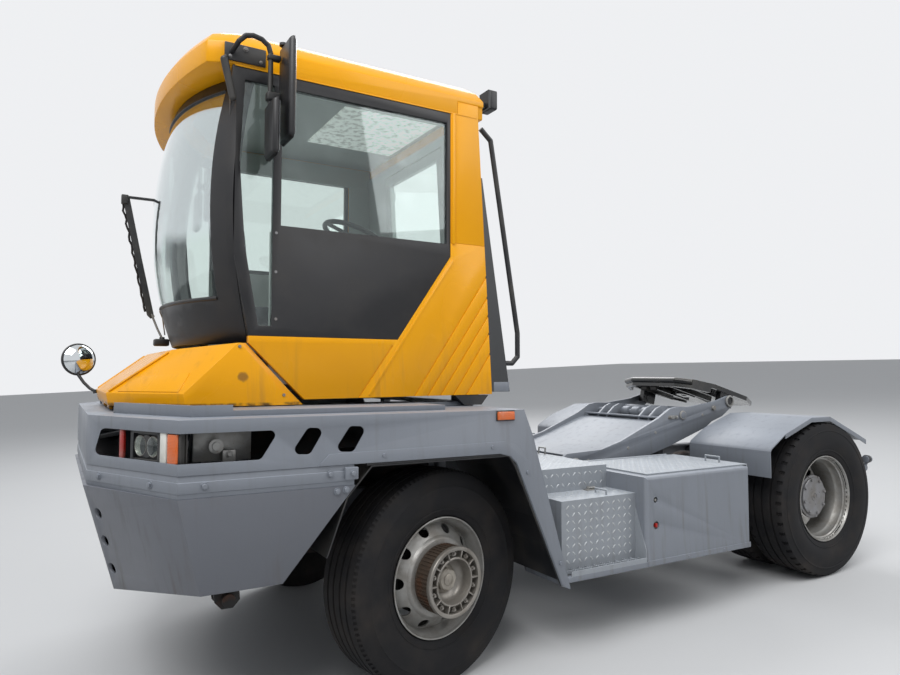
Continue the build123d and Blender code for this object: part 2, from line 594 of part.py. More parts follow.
def box_lid():
    """Chequered lid of the tool box: hinge bar, wire handle and a folded lip behind the box."""
    z = BOX_TOP + RUN_GAP
    inner = BOX_INNER_Y + 10
    lid = block(BOX_REAR_X - 60, BOX_FRONT_X - 70, inner, HALF_WIDTH - 60, z, z + LID_THICK)
    lid += bar_x(inner, z + LID_HINGE_R, LID_HINGE_R, BOX_REAR_X + 20, BOX_FRONT_X - 90)
    lid += block(BOX_REAR_X - 60, BOX_REAR_X - 60 + LID_THICK, inner, HALF_WIDTH - 60, z - 34, z + LID_THICK)
    grip_y = HALF_WIDTH - 190
    ends = [(BOX_REAR_X + 48, grip_y, z + 45), (BOX_REAR_X + 48, grip_y - 110, z + 45)]
    grip = rod(*ends, 6)
    for x, y, top in ends:
        grip += rod((x, y, z + 4), (x, y, top), 6) + Pos(x, y, top) * Sphere(6)
    return lid + grip


def steps():
    """Left steps: barred grating at the bottom, chequered risers and treads above."""
    rear = BOX_FRONT_X + RUN_GAP
    flight = block(rear, STEP_FRONT_X, 1160, 1166, 500, 862)
    flight += block(rear, STEP_FRONT_X, 925, 1166, 856, 862)
    flight += block(rear, STEP_FRONT_X, 920, 926, 856, 1000)
    flight += block(rear, STEP_FRONT_X, BOOM_Y + 70, 926, 994, 1000)
    flight += block(rear, rear + 6, 925, 1166, 494, 862)
    flight += extrude(make_face(Polyline((rear, 1160, 494), (rear, HALF_WIDTH - 2, 494), (rear, HALF_WIDTH - 2, 553),
                                         (rear, 1166, 780), (rear, 1160, 780), close=True)), amount=6, dir=(1, 0, 0))
    flight += block(STEP_FRONT_X - 6, STEP_FRONT_X, 925, 1166, 494, 862)
    sill = BOX_BOTTOM + RUN_GAP
    flight += block(rear, STEP_FRONT_X, HALF_WIDTH - 6, HALF_WIDTH, sill, 506)
    for y in (1163, 1205):
        flight += block(rear, STEP_FRONT_X, y - 3, y + 3, sill + 2, 500)
    pitch = (STEP_FRONT_X - rear) / 10
    for bar in range(1, 10):
        x = rear + bar * pitch
        flight += block(x - 3, x + 3, 1162, HALF_WIDTH - 3, sill + 4, 498)
    grip = rod((-1060, 1040, 858), (-1060, 1040, 888), 5) + rod((-1060, 1130, 858), (-1060, 1130, 888), 5)
    grip += rod((-1060, 1040, 888), (-1060, 1130, 888), 5) + Pos(-1060, 1040, 888) * Sphere(5)
    return flight + grip + Pos(-1060, 1130, 888) * Sphere(5)


def deck_plate():
    """Fixed deck plate behind the cab, ahead of the boom."""
    edge = BOOM_Y + 70 - RUN_GAP
    plate = block(-1270, -660, -edge, edge, 994, 1000)
    for x in (-1250, -700):
        plate += block(x, x + 12, -RAIL_Y, RAIL_Y, RAIL_TOP + RUN_GAP, 996)
    return plate


def mudguard():
    """Left rear mudguard: a folded plate with a turned-down outer lip, on two brackets from the rail."""
    hub_z = FRONT_AXLE_Z + REAR_AXLE_RISE
    reach = REAR_AXLE_X + TYRE_R + GUARD_AHEAD
    crest = hub_z + TYRE_R + GUARD_ABOVE
    tail = REAR_AXLE_X - 505
    outer = [(reach, hub_z + 192), (reach, hub_z + 365), (reach - 14, hub_z + 385), (REAR_AXLE_X + 465, crest - 100),
             (REAR_AXLE_X + 165, crest), (REAR_AXLE_X - 55, crest), (REAR_AXLE_X - 425, crest - 150),
             (tail, crest - 185)]
    t = GUARD_PLATE
    inner = [(tail, crest - 185 - t), (REAR_AXLE_X - 425, crest - 150 - t), (REAR_AXLE_X - 54, crest - t),
             (REAR_AXLE_X + 164, crest - t), (REAR_AXLE_X + 466, crest - 100 - t),
             (reach - 14 - t, hub_z + 385 - t), (reach - t, hub_z + 363), (reach - t, hub_z + 192)]
    guard = slab(outer + inner, GUARD_INNER_Y, HALF_WIDTH)
    lip_low = [(x, z - 32) for x, z in outer[3:]]
    guard += slab(outer[3:] + lip_low[::-1], HALF_WIDTH - t, HALF_WIDTH)
    guard += block(reach - 26, reach - 3, RAIL_Y + RUN_GAP, GUARD_INNER_Y + 60, hub_z + 196, hub_z + 218)
    bar_at = REAR_AXLE_X - TYRE_R - 39
    guard += bar_y(bar_at, 850, 22, RAIL_Y + RUN_GAP, HALF_WIDTH - 45)
    for y in (700, 1120):
        guard += rod((bar_at, y, 850), (tail + 12, y, crest - 185 - t / 2), 11)
    guard += rod((bar_at, HALF_WIDTH - 60, 850), (bar_at - 10, HALF_WIDTH - 40, 905), 12)
    return guard + bar_x(HALF_WIDTH - 40, 915, 27, bar_at - 32, bar_at + 18)


def boom():
    """Lift boom: two cut side plates, a sloping deck, a channel beam, lift ears and pivot tubes."""
    outline = [
        (-1300, 991), (-1330, 1012), (-1642, 1024), (-1839, 1076), (-2215, 1224), (-2340, 1292), (-2415, 1304),
        (-2540, 1300), (-2840, 1334), (-2985, 1372), (PLATE_PIVOT_X, PLATE_PIVOT_Z + 46), (-3050, 1371), (-3066, 1335),
        (-3050, 1290), (-2931, 1218), (-2808, 1181),
        (-2733, 1136), (-2308, 1007), (-2000, 930), (-1450, 880), (-1340, 895),
    ]
    plate = slab(outline, BOOM_Y - BOOM_PLATE, BOOM_Y)
    plate -= bar_y(BOOM_PIVOT_X, BOOM_PIVOT_Z, BOOM_PIN_R + RUN_GAP, BOOM_Y - 100, BOOM_Y + 60)
    plate -= bar_y(PLATE_PIVOT_X, PLATE_PIVOT_Z, 32 + RUN_GAP, BOOM_Y - 100, BOOM_Y + 60)
    beam = pair(plate)
    beam += slab([(-1480, 975), (-1640, 995), (-1839, 1050), (-2215, 1180), (-2300, 1195), (-2300, 1183),
                  (-2212, 1168), (-1836, 1038), (-1637, 983), (-1480, 963)],
                 -BOOM_Y + 10, BOOM_Y - 10)
    beam += block(-2350, -2290, -BOOM_Y + 5, BOOM_Y - 5, 1120, 1226)
    beam -= block(-2338, -2280, -BOOM_Y + 60, BOOM_Y - 60, 1197, 1215)
    for y in (-LIFT_Y, LIFT_Y):
        for off in (-52, 52):
            beam += slab([(-2300, 1150), (-2300, 1222), (-2380, 1285), (LIFT_PIN_X + 35, LIFT_PIN_Z + 66),
                          (LIFT_PIN_X - 30, LIFT_PIN_Z + 62), (LIFT_PIN_X - 62, LIFT_PIN_Z + 20),
                          (LIFT_PIN_X - 55, LIFT_PIN_Z - 40), (LIFT_PIN_X + 20, LIFT_PIN_Z - 55)],
                         y + off - 9, y + off + 9)
    beam += bar_y(LIFT_PIN_X, LIFT_PIN_Z, LIFT_PIN_R, -BOOM_Y - 14, BOOM_Y + 14)
    for y in (-110, 0, 110):
        beam += bar_y(LIFT_PIN_X, LIFT_PIN_Z, 46, y - 34, y + 34)
    beam += bar_y(-2780, 1240, 45, -BOOM_Y + 5, BOOM_Y - 5)
    return beam


def lift_length():
    """Distance between the two pins of a lift cylinder with the boom down."""
    return ((LIFT_PIN_X - LIFT_FOOT_X) ** 2 + (LIFT_PIN_Z - LIFT_FOOT_Z) ** 2) ** 0.5


def along_lift(piece, y):
    """Place a piece drawn upright from the foot pin along the line of the lift cylinder."""
    lean = degrees(atan2(LIFT_PIN_X - LIFT_FOOT_X, LIFT_PIN_Z - LIFT_FOOT_Z))
    return Pos(LIFT_FOOT_X, y, LIFT_FOOT_Z) * Rot(0, lean, 0) * piece


def lift_barrel(y):
    """Barrel of a lift cylinder with the eye at its foot."""
    length = lift_length() - 130
    body = Pos(0, 0, 40 + length / 2) * Cylinder(52, length - 40)
    eye = Rot(90, 0, 0) * Cylinder(42, 90)
    neck = Pos(0, 0, 45) * Box(60, 60, 60)
    tube = body + eye + neck
    tube -= Rot(90, 0, 0) * Cylinder(LIFT_PIN_R + RUN_GAP, 120)
    tube -= Pos(0, 0, 90 + length / 2) * Cylinder(30 + RUN_GAP, length + 2)
    return along_lift(tube, y)


def lift_rod(y):
    """Chromed rod of a lift cylinder with the eye at its head, which has play on its pin."""
    top = lift_length()
    bar = Pos(0, 0, top - 30 - 170) * Cylinder(30, 340)
    eye = Pos(0, 0, top) * Rot(90, 0, 0) * Cylinder(40, 80)
    stem = bar + eye
    stem -= Pos(0, 0, top) * Rot(90, 0, 0) * Cylinder(LIFT_PIN_R + LIFT_EYE_PLAY, 120)
    return along_lift(stem, y)


def on_plate(piece):
    """Place a piece of the fifth wheel, drawn level about its pivot, at its rest tilt."""
    return Pos(PLATE_PIVOT_X, 0, PLATE_PIVOT_Z) * Rot(0, -PLATE_TILT, 0) * piece


def fifth_wheel():
    """Fifth wheel: thick plate with a throat and ramps, rounded front edge, ribs, jaw ring and pins."""
    half = PLATE_HALF
    outline = [(390, -230), (390, 230), (330, 360), (180, half), (-230, half), (-420, 360), (-500, 200),
               (-500, 120), (-70, 32), (-70, -32), (-500, -120), (-500, -200), (-420, -360),
               (-230, -half), (180, -half), (330, -360)]
    plate = deck(outline, PLATE_HEIGHT - 22, PLATE_HEIGHT)
    skirt = deck(outline, PLATE_HEIGHT - 35, PLATE_HEIGHT)
    skirt += deck(outline, 20, PLATE_HEIGHT) & block(200, 400, -half, half, 0, PLATE_HEIGHT)
    skirt -= deck([(360, -210), (360, 210), (305, 330), (165, half - 24), (-215, half - 24),
                   (-400, 335), (-520, 335), (-520, -335), (-400, -335), (-215, -half + 24),
                   (165, -half + 24), (305, -330)], 10, PLATE_HEIGHT - 10)
    top = plate + skirt
    top += Pos(0, 0, PLATE_HEIGHT - 30) * Cylinder(62, 60)
    top += block(-70, -20, -60, 60, PLATE_HEIGHT - 60, PLATE_HEIGHT - 4)
    for y in (-300, -120, 120, 300):
        top += block(-200, 300, y - 8, y + 8, 34, PLATE_HEIGHT - 12)
    top -= Pos(0, 0, PLATE_HEIGHT - 30) * Cylinder(KINGPIN_R, 80)
    edge = PLATE_HEIGHT - 24
    front = [(330, -360, edge), (388, -230, edge), (388, 230, edge), (330, 360, edge)]
    for start, end in zip(front[:-1], front[1:]):
        top += rod(start, end, 23.5)
    for x, y, z in front[1:3]:
        top += Pos(x, y, z) * Sphere(23.5)
    for side in (-1, 1):
        y0, y1 = sorted((side * (BOOM_Y - BOOM_PLATE - SWING_GAP - 45), side * (BOOM_Y - BOOM_PLATE - SWING_GAP)))
        top += block(-75, 75, y0, y1, -45, PLATE_HEIGHT - 10)
        y0, y1 = sorted((side * (BOOM_Y - 80), side * (BOOM_Y + 4)))
        top += bar_y(0, 0, 32, y0, y1)
    return on_plate(top)


def screen_band(inner, outer, angle, z0, z1):
    """A barrel-shaped band of the cab front, swept about an upright axis inside the cab."""
    def at(z):
        rise = (z - 2400) / 650
        return SCREEN_BULGE_R - 110 * rise * rise
    middle = (z0 + z1) / 2
    outer_arc = ThreePointArc((at(z0) + outer, 0, z0), (at(middle) + outer, 0, middle), (at(z1) + outer, 0, z1))
    top = Line((at(z1) + outer, 0, z1), (at(z1) + inner, 0, z1))
    inner_arc = ThreePointArc((at(z1) + inner, 0, z1), (at(middle) + inner, 0, middle), (at(z0) + inner, 0, z0))
    foot = Line((at(z0) + inner, 0, z0), (at(z0) + outer, 0, z0))
    section = Rot(0, 0, -angle) * make_face([outer_arc, top, inner_arc, foot])
    band = revolve(section, axis=Axis.Z, revolution_arc=2 * angle)
    return Pos(SCREEN_AXIS_X, 0, 0) * band


def screen_surround():
    """Black moulded surround of the windscreen, with its pillars."""
    band = screen_band(-45, 0, SURROUND_ANGLE, HOOD_TOP + 4, CAB_EAVES - RUN_GAP)
    return band - screen_band(-80, 40, SCREEN_ANGLE, 1930, GLASS_TOP)


def windscreen():
    """Bulged windscreen glass, set into the surround."""
    return screen_band(-14, -6, SCREEN_ANGLE - 0.02, 1930 + RUN_GAP, GLASS_TOP - RUN_GAP)


def hood_level(z, corner_x, nose_x, nose_y, rear_x, half):
    """One level outline of the hood: straight sides, two diagonals and a flat nose."""
    return make_face(Polyline((rear_x, -half, z), (corner_x, -half, z), (nose_x, -nose_y, z), (nose_x, nose_y, z),
                              (corner_x, half, z), (rear_x, half, z), close=True))


def hood():
    """Yellow faceted hood in front of the cab floor, with its raised panels and seams."""
    skirt = loft([hood_level(HOOD_BOTTOM, HOOD_CORNER_X - 12, HOOD_NOSE_X - 12, HOOD_NOSE_Y, 630, CAB_Y),
                  hood_level(HOOD_CREASE, HOOD_CORNER_X, HOOD_NOSE_X, HOOD_NOSE_Y, 690, CAB_Y)], ruled=True)
    slope = loft([hood_level(HOOD_CREASE, HOOD_CORNER_X, HOOD_NOSE_X, HOOD_NOSE_Y, 690, CAB_Y),
                  hood_level(HOOD_TOP, HOOD_TOP_CORNER_X, HOOD_TOP_NOSE_X, 530, 915, CAB_Y)], ruled=True)
    shell = skirt + slope
    wall = HOOD_WALL
    inner = CAB_Y - wall
    hollow = loft([hood_level(HOOD_BOTTOM - 1, HOOD_CORNER_X - 27, HOOD_NOSE_X - 12 - wall, 419, 500, inner),
                   hood_level(HOOD_CREASE - 8, HOOD_CORNER_X - 17, HOOD_NOSE_X - wall, 419, 500, inner)], ruled=True)
    rise = loft([hood_level(HOOD_CREASE - 8, HOOD_CORNER_X - 17, HOOD_NOSE_X - wall, 419, 500, inner),
                 hood_level(HOOD_TOP + 1, HOOD_TOP_CORNER_X - 17, HOOD_TOP_NOSE_X - wall, 519, 500, inner)], ruled=True)
    rise -= slab([(1075, 1678), (1300, 1652), (1300, 1720), (1075, 1720)], -900, 900)
    shell = shell - hollow - rise
    shell -= slab([(HOOD_TOP_CORNER_X, HOOD_TOP), (1300, 1665), (1300, 1760), (HOOD_TOP_CORNER_X, 1760)], -900, 900)
    shell -= pair(slab([(673.8, 1400), (944.4, 1710), (880, 1710), (560, 1400)], CAB_Y - 15, CAB_Y + 1))
    toward = Vector(HOOD_NOSE_X - HOOD_CORNER_X, HOOD_NOSE_Y - CAB_Y, 0).normalized()
    out = Vector(0.6155, 0.4858, 0.6206).normalized()
    up = out.cross(toward)
    up = up * (1 if up.Z > 0 else -1)
    corner = Vector(HOOD_CORNER_X, CAB_Y, HOOD_CREASE) - out * 2
    panel = [corner + toward * along + up * over for along, over in ((30, 9), (400, 9), (358, 98), (30, 120))]
    raised = extrude(make_face(Polyline(*panel, close=True)), amount=6, dir=out)
    foot = Vector(HOOD_NOSE_X, HOOD_NOSE_Y, HOOD_CREASE)
    head = Vector(1206, 518, 1676)
    for off in (-9, 9):
        raised += rod(foot + (head - foot) * 0.04 + Vector(0, off, 0), head - (head - foot) * 0.06 + Vector(0, off, 0), 5)
    shell += pair(raised)
    for y0 in (CAB_HINGE_Y - 66, CAB_HINGE_Y + 31):
        y1 = y0 + 35
        shell += pair(block(CAB_HINGE_X - 11, CAB_HINGE_X + 6, y0, y1, CAB_HINGE_Z, HOOD_CREASE - 25))
        shell += pair(bar_y(CAB_HINGE_X, CAB_HINGE_Z, CAB_HINGE_R, y0, y1))
    return shell


def cab_side():
    """Left yellow side panel: lower body with its pressed grooves and bead, and rear pillar."""
    outline = [(626, CAB_BOTTOM - 10), (CAB_REAR_BOTTOM_X, CAB_BOTTOM), (CAB_REAR_TOP_X, CAB_EAVES - RUN_GAP),
               (PILLAR_REAR_X - RUN_GAP, CAB_EAVES - RUN_GAP), (PILLAR_REAR_X - RUN_GAP, BELT_Z),
               (DOOR_SILL_FRONT_X, SILL_Z - RUN_GAP), (905, SILL_Z - RUN_GAP), (905, 1706)]
    panel = slab(outline, CAB_Y - CAB_WALL, CAB_Y)
    face = CAB_Y - GROOVE_DEPTH
    for head, foot in (((-453, 2117), (5, 1447)), ((-472, 2014), (-75, 1447)), ((-479, 1910), (-156, 1447)),
                       ((-484, 1805), (-238, 1447)), ((-491, 1688), (-323, 1447))):
        along = (Vector(foot[0], 0, foot[1]) - Vector(head[0], 0, head[1])).normalized() * 22
        panel -= stripe((head[0] - along.X, head[1] - along.Z), (foot[0] + along.X, foot[1] + along.Z),
                        GROOVE_WIDTH, face, CAB_Y + 1)
    panel -= stripe((145, 1708), (346, 1422), GROOVE_WIDTH, face, CAB_Y + 1)
    panel -= block(-460, PILLAR_REAR_X + 1, CAB_Y - 2, CAB_Y + 1, GLASS_BOTTOM + 6, GLASS_BOTTOM + 10)
    panel += stripe((-228, 2196), (278, 1446), 13, CAB_Y - 2, CAB_Y + BEAD_PROUD)
    panel += block(CAB_REAR_TOP_X, ROOF_NOTCH_X - RUN_GAP, CAB_Y - 11.6, CAB_Y, CAB_EAVES - 5, CAB_EAVES + 71)
    return panel


def cab_window_frame():
    """Left black lower panel and window frame between the pillars, with the quarter light."""
    outline = [(905, SILL_Z), (DOOR_SILL_FRONT_X, SILL_Z), (PILLAR_REAR_X, BELT_Z + RUN_GAP),
               (PILLAR_REAR_X, CAB_EAVES - RUN_GAP), (1000, CAB_EAVES - RUN_GAP), (1020, 2600), (985, 2150)]
    frame = slab(outline, CAB_Y - CAB_WALL, CAB_Y - 2)
    frame -= block(PILLAR_REAR_X + 25, PILLAR_MID_X - PILLAR_WIDTH, 700, 900, GLASS_BOTTOM, GLASS_TOP)
    light = slab([(PILLAR_MID_X + 5, 1790), (PILLAR_MID_X + 5, GLASS_TOP), (940, GLASS_TOP), (960, 2600),
                  (930, 2180), (860, 1790)], 700, 900)
    frame -= light
    frame -= screen_band(-60, 60, SURROUND_ANGLE + 0.4, HOOD_TOP, CAB_EAVES + 5)
    return frame


def side_window():
    """Left side window and quarter light, as two panes in their frame."""
    pane = block(PILLAR_REAR_X + 26, PILLAR_MID_X - PILLAR_WIDTH - 1, CAB_Y - 20, CAB_Y - 20 + GLASS_THICK,
                 GLASS_BOTTOM + 1, GLASS_TOP - 1)
    light = slab([(PILLAR_MID_X + 6, 1791), (PILLAR_MID_X + 6, GLASS_TOP - 1), (939, GLASS_TOP - 1), (958, 2600),
                  (929, 2181), (859, 1791)], CAB_Y - 20, CAB_Y - 20 + GLASS_THICK)
    return pane + light


def rear_line(z):
    """X of the outer face of the cab's sloping back wall at a height."""
    share = (z - CAB_BOTTOM) / (CAB_EAVES - CAB_BOTTOM)
    return CAB_REAR_BOTTOM_X + share * (CAB_REAR_TOP_X - CAB_REAR_BOTTOM_X)


def back_slab(y0, y1, z0, z1, out, depth):
    """A panel that lies along the sloping back wall."""
    return slab([(rear_line(z0) + out, z0), (rear_line(z1) + out, z1), (rear_line(z1) + out + depth, z1),
                 (rear_line(z0) + out + depth, z0)], y0, y1)


def hinge_knuckle(z0, z1):
    """One knuckle of the rear door's hinge, on the line that runs up the back wall."""
    y = -DOOR_HALF
    low = (rear_line(z0) - HINGE_OUT, y, z0)
    return rod(low, (rear_line(z1) - HINGE_OUT, y, z1), HINGE_R)


def back_wall():
    """Back wall of the cab with the doorway cut out."""
    inner = CAB_Y - CAB_WALL - RUN_GAP
    wall = back_slab(-inner, inner, CAB_BOTTOM, CAB_EAVES - RUN_GAP, 0, CAB_WALL)
    wall -= back_slab(-DOOR_HALF, DOOR_HALF, DOOR_BOTTOM, DOOR_TOP, -20, CAB_WALL + 60)
    for z in DOOR_HINGES:
        for z0 in (z - 60 - 0.8, z + 30 + 0.8):
            wall += hinge_knuckle(z0, z0 + 30)
            wall += back_slab(-DOOR_HALF - 30, -DOOR_HALF + 2, z0, z0 + 30, -HINGE_OUT, HINGE_OUT + 2)
    return wall


def rear_door():
    """Rear door with its window opening and pull handle."""
    half = DOOR_HALF - DOOR_GAP
    low = DOOR_BOTTOM + DOOR_GAP
    high = DOOR_TOP - DOOR_GAP
    door = back_slab(-half, half, low, high, 2, CAB_WALL - 4)
    door -= back_slab(-half + 60, half - 60, 2150, high - 60, -20, CAB_WALL + 60)
    door += back_slab(half - 50, half - 20, 1950, 2080, -28, 32)
    for z in DOOR_HINGES:
        door += hinge_knuckle(z - 30, z + 30)
        door += back_slab(-DOOR_HALF - 4, -half + 50, z - 30, z + 30, -HINGE_OUT, 6)
        door += back_slab(-half + 10, -half + 50, z - 30, z + 30, -HINGE_OUT, HINGE_OUT + 4)
    return door


def rear_glass():
    """Window of the rear door."""
    half = DOOR_HALF - DOOR_GAP - 61
    return back_slab(-half, half, 2151, DOOR_TOP - DOOR_GAP - 61, 16, GLASS_THICK)


def cab_floor():
    """Floor of the cab, from the back wall to the footwell, with the foot lug at each rear corner."""
    side = CAB_Y - CAB_WALL - RUN_GAP
    outline = [(CAB_REAR_BOTTOM_X + CAB_WALL + 5, -side), (600, -side), (600, side),
               (CAB_REAR_BOTTOM_X + CAB_WALL + 5, side)]
    board = deck(outline, CAB_BOTTOM, CAB_FLOOR)
    board += deck([(600, -700), (1130, -700), (1180, 0), (1130, 700), (600, 700)], CAB_BOTTOM, CAB_FLOOR - 30)
    lug = slab([(-469, 1436), (-243, 1436), (-308, 1381), (-422, 1381)], 766, CAB_Y - 1)
    lug += block(-430, -285, 700, 770, 1418, 1436) + block(-430, -285, 700, 752, 1430, 1446)
    return board + pair(lug)


def roof():
    """Yellow roof with a bevelled edge and the sun visor that overhangs the windscreen."""
    def level(z, inset):
        corner_y = VISOR_CORNER_Y - inset
        side_y = CAB_Y - inset
        front = ThreePointArc((VISOR_CORNER_X - inset, corner_y, z), (VISOR_NOSE_X - inset, 0, z),
                              (VISOR_CORNER_X - inset, -corner_y, z))
        rest = Polyline((VISOR_CORNER_X - inset, -corner_y, z), (VISOR_CORNER_X - 90 - inset, -side_y, z),
                        (CAB_REAR_TOP_X - 40 + inset, -side_y, z), (CAB_REAR_TOP_X - 40 + inset, side_y, z),
                        (VISOR_CORNER_X - 90 - inset, side_y, z), (VISOR_CORNER_X - inset, corner_y, z))
        return make_face([front, rest])
    shell = extrude(level(CAB_EAVES, 0), amount=105)
    shell += loft([level(CAB_EAVES + 105, 0), level(CAB_EAVES + 155, 30)], ruled=True)
    shell += loft([level(CAB_EAVES + 155, 30), level(CAB_ROOF, 88)], ruled=True)
    hollow = [(-390, -750), (700, -750), (840, -690), (1030, -300), (1030, 300), (840, 690),
              (700, 750), (-390, 750)]
    shell -= deck(hollow, CAB_EAVES - 1, CAB_EAVES + 95)
    shell -= pair(block(CAB_REAR_TOP_X - 60, ROOF_NOTCH_X, CAB_Y - 12, CAB_Y + 5, CAB_EAVES - 1, CAB_EAVES + 72))
    return shell


def station():
    """Driver's station on its turntable: seat and console with the steering column."""
    floor = CAB_FLOOR + RUN_GAP
    base = Pos(380, 0, floor + 20) * Cylinder(330, 40)
    post = block(430, 640, -150, 150, floor + 40, 1830)
    cushion = block(320, 790, -250, 250, 1830, 1950)
    back = slab([(730, 1930), (850, 1930), (900, 2560), (800, 2560)], -240, 240)
    head = slab([(815, 2560), (890, 2560), (900, 2710), (840, 2710)], -150, 150)
    return base + post + cushion + back + head


def console():
    """Console with the steering wheel, opposite the seat on the turntable."""
    floor = CAB_FLOOR + RUN_GAP
    column = slab([(60, floor + 40), (170, floor + 40), (60, 2330), (0, 2330)], -130, 130)
    wheel = Pos(40, 0, 2440) * Rot(0, -22, 0) * Torus(205, 16)
    hub = Pos(40, 0, 2430) * Rot(0, -22, 0) * Cylinder(40, 30)
    stem = rod((30, 0, 2320), (40, 0, 2430), 24)
    spoke = Pos(40, 0, 2436) * Rot(0, -22, 0) * Box(400, 34, 14)
    return column + stem + hub + spoke + wheel


def mirror_arm():
    """Left mirror arm: bracket on the roof's edge, bent tube, clamp and the two mirror heads."""
    lift = CAB_EAVES - 3050
    plate = block(845, 1042, CAB_Y + RUN_GAP, CAB_Y + 12, 3062 + lift, 3148 + lift)
    path = [(1010, CAB_Y + 8, 3105 + lift), (985, 900, 3130 + lift), (965, 905, 3152 + lift),
            (872, 905, 3147 + lift), (847, 905, 3110 + lift), (847, 905, 2620 + lift)]
    arm = rod(path[0], path[1], 12)
    for start, end in zip(path[1:-1], path[2:]):
        arm += Pos(*start) * Sphere(12) + rod(start, end, 12)
    arm += rod((1046, 826, 3050 + lift), (1004, 826, 2872 + lift), 17)
    arm += rod((1034, CAB_Y + 8, 3075 + lift), (1044, 830, 3046 + lift), 12)
    arm += block(800, 866, 884, 926, 2860 + lift, 2900 + lift)
    head = block(764, 808, 862, 1052, 2658 + lift, 3146 + lift)
    head = chamfer(head.edges(), 13)
    small = block(834, 876, 872, 1040, 2572 + lift, 2842 + lift)
    small = chamfer(small.edges(), 12)
    return plate + arm + head + small


def wiper():
    """Windscreen wiper: pivot housing, flat arm, blade carrier and the guide at its head."""
    y = -300
    arm = rod((1150, y, 1752), (1209, y, 1907), 11)
    blade = rod((1209, y, 1907), (1342, y, 2580), 15) + Pos(1209, y, 1907) * Sphere(15)
    blade += rod((1228, y - 8, 1930), (1366, y - 8, 2560), 9)
    guide = rod((1374, y, 2600), (1200, y, 2600), 8) + rod((1352, y, 2560), (1352, y, 2606), 16)
    foot = rod((1111.5, y, 1745), (1196, y, 1738), 19)
    return arm + blade + guide + foot


def hood_mirror():
    """Domed mirror on a bent arm at the right front corner of the hood."""
    turns = [(1486, -440, 1449), (1545, -470, 1496), (1592, -500, 1556), (1590, -498, 1622)]
    arm = rod(turns[0], turns[1], 9)
    for start, end in zip(turns[1:-1], turns[2:]):
        arm += Pos(*start) * Sphere(9) + rod(start, end, 9)
    dome = Rot(-86, 0, 18) * (Sphere(112) & Pos(0, 0, 86) * Box(240, 240, 56))
    return arm + Pos(1600, -572, 1636) * dome


def grab_rail():
    """Black grab rail behind the left rear corner of the cab."""
    y = CAB_Y - 20
    points = [(-430, y, 3000), (-500, y, 2940), (-690, y, 1800), (-690, y, 1660), (-650, y, 1620)]
    rail = rod(points[0], points[1], 15)
    for a, b in zip(points[1:-1], points[2:]):
        rail += rod(a, b, 15) + Pos(*a) * Sphere(15)
    for point in points[-2:]:
        rail += Pos(*point) * Sphere(15)
    return rail + rod(points[-1], (-597.1, y, 1620), 15)


def work_lamp():
    """Work lamp on the rear edge of the roof."""
    return block(-560, -500, 660, 760, 3150, 3260) + block(-520, -440 - RUN_GAP, 690, 730, 3160, 3180)


def lamps():
    """Left light cluster behind the opening: lamp housing, narrow lenses and indicator on a plate."""
    ceiling = SHELL_TOP - SHELL_WALL - RUN_GAP
    plate = slab([(1085, 1188), (1505, 1188), (1505, ceiling), (1085, ceiling)], 0, 6)
    housing = block(1210, 1405, 3, 42, 1196, 1324) - block(1222, 1393, 26, 50, 1208, 1312)
    cluster = plate + housing + bar_y(1307, 1260, 46, 20, 38)
    for start, end, out in ((1164, 1200, 40), (1092, 1148, 42), (1474, 1496, 38)):
        cluster += block(start, end, 3, out, 1200, 1320)
    slope = degrees(atan2(HALF_WIDTH - NOSE_Y, NOSE_X - CORNER_X))
    return Pos(CORNER_X, HALF_WIDTH - 120, 0) * Rot(0, 0, -slope) * Pos(-1180, 0, 0) * cluster


def rear_fin():
    """Grey flared fin behind the left rear edge of the cab."""
    foot = rear_line(FIN_FOOT) - RUN_GAP
    head = rear_line(FIN_HEAD) - RUN_GAP
    return slab([(foot, FIN_FOOT), (FIN_TOE_X, FIN_FOOT), (head - 8, FIN_HEAD), (head, FIN_HEAD)],
                CAB_Y - 60, CAB_Y - 2)


tyre_front, rim_front = front_wheel()
tyres_rear, rim_rear = rear_wheel()

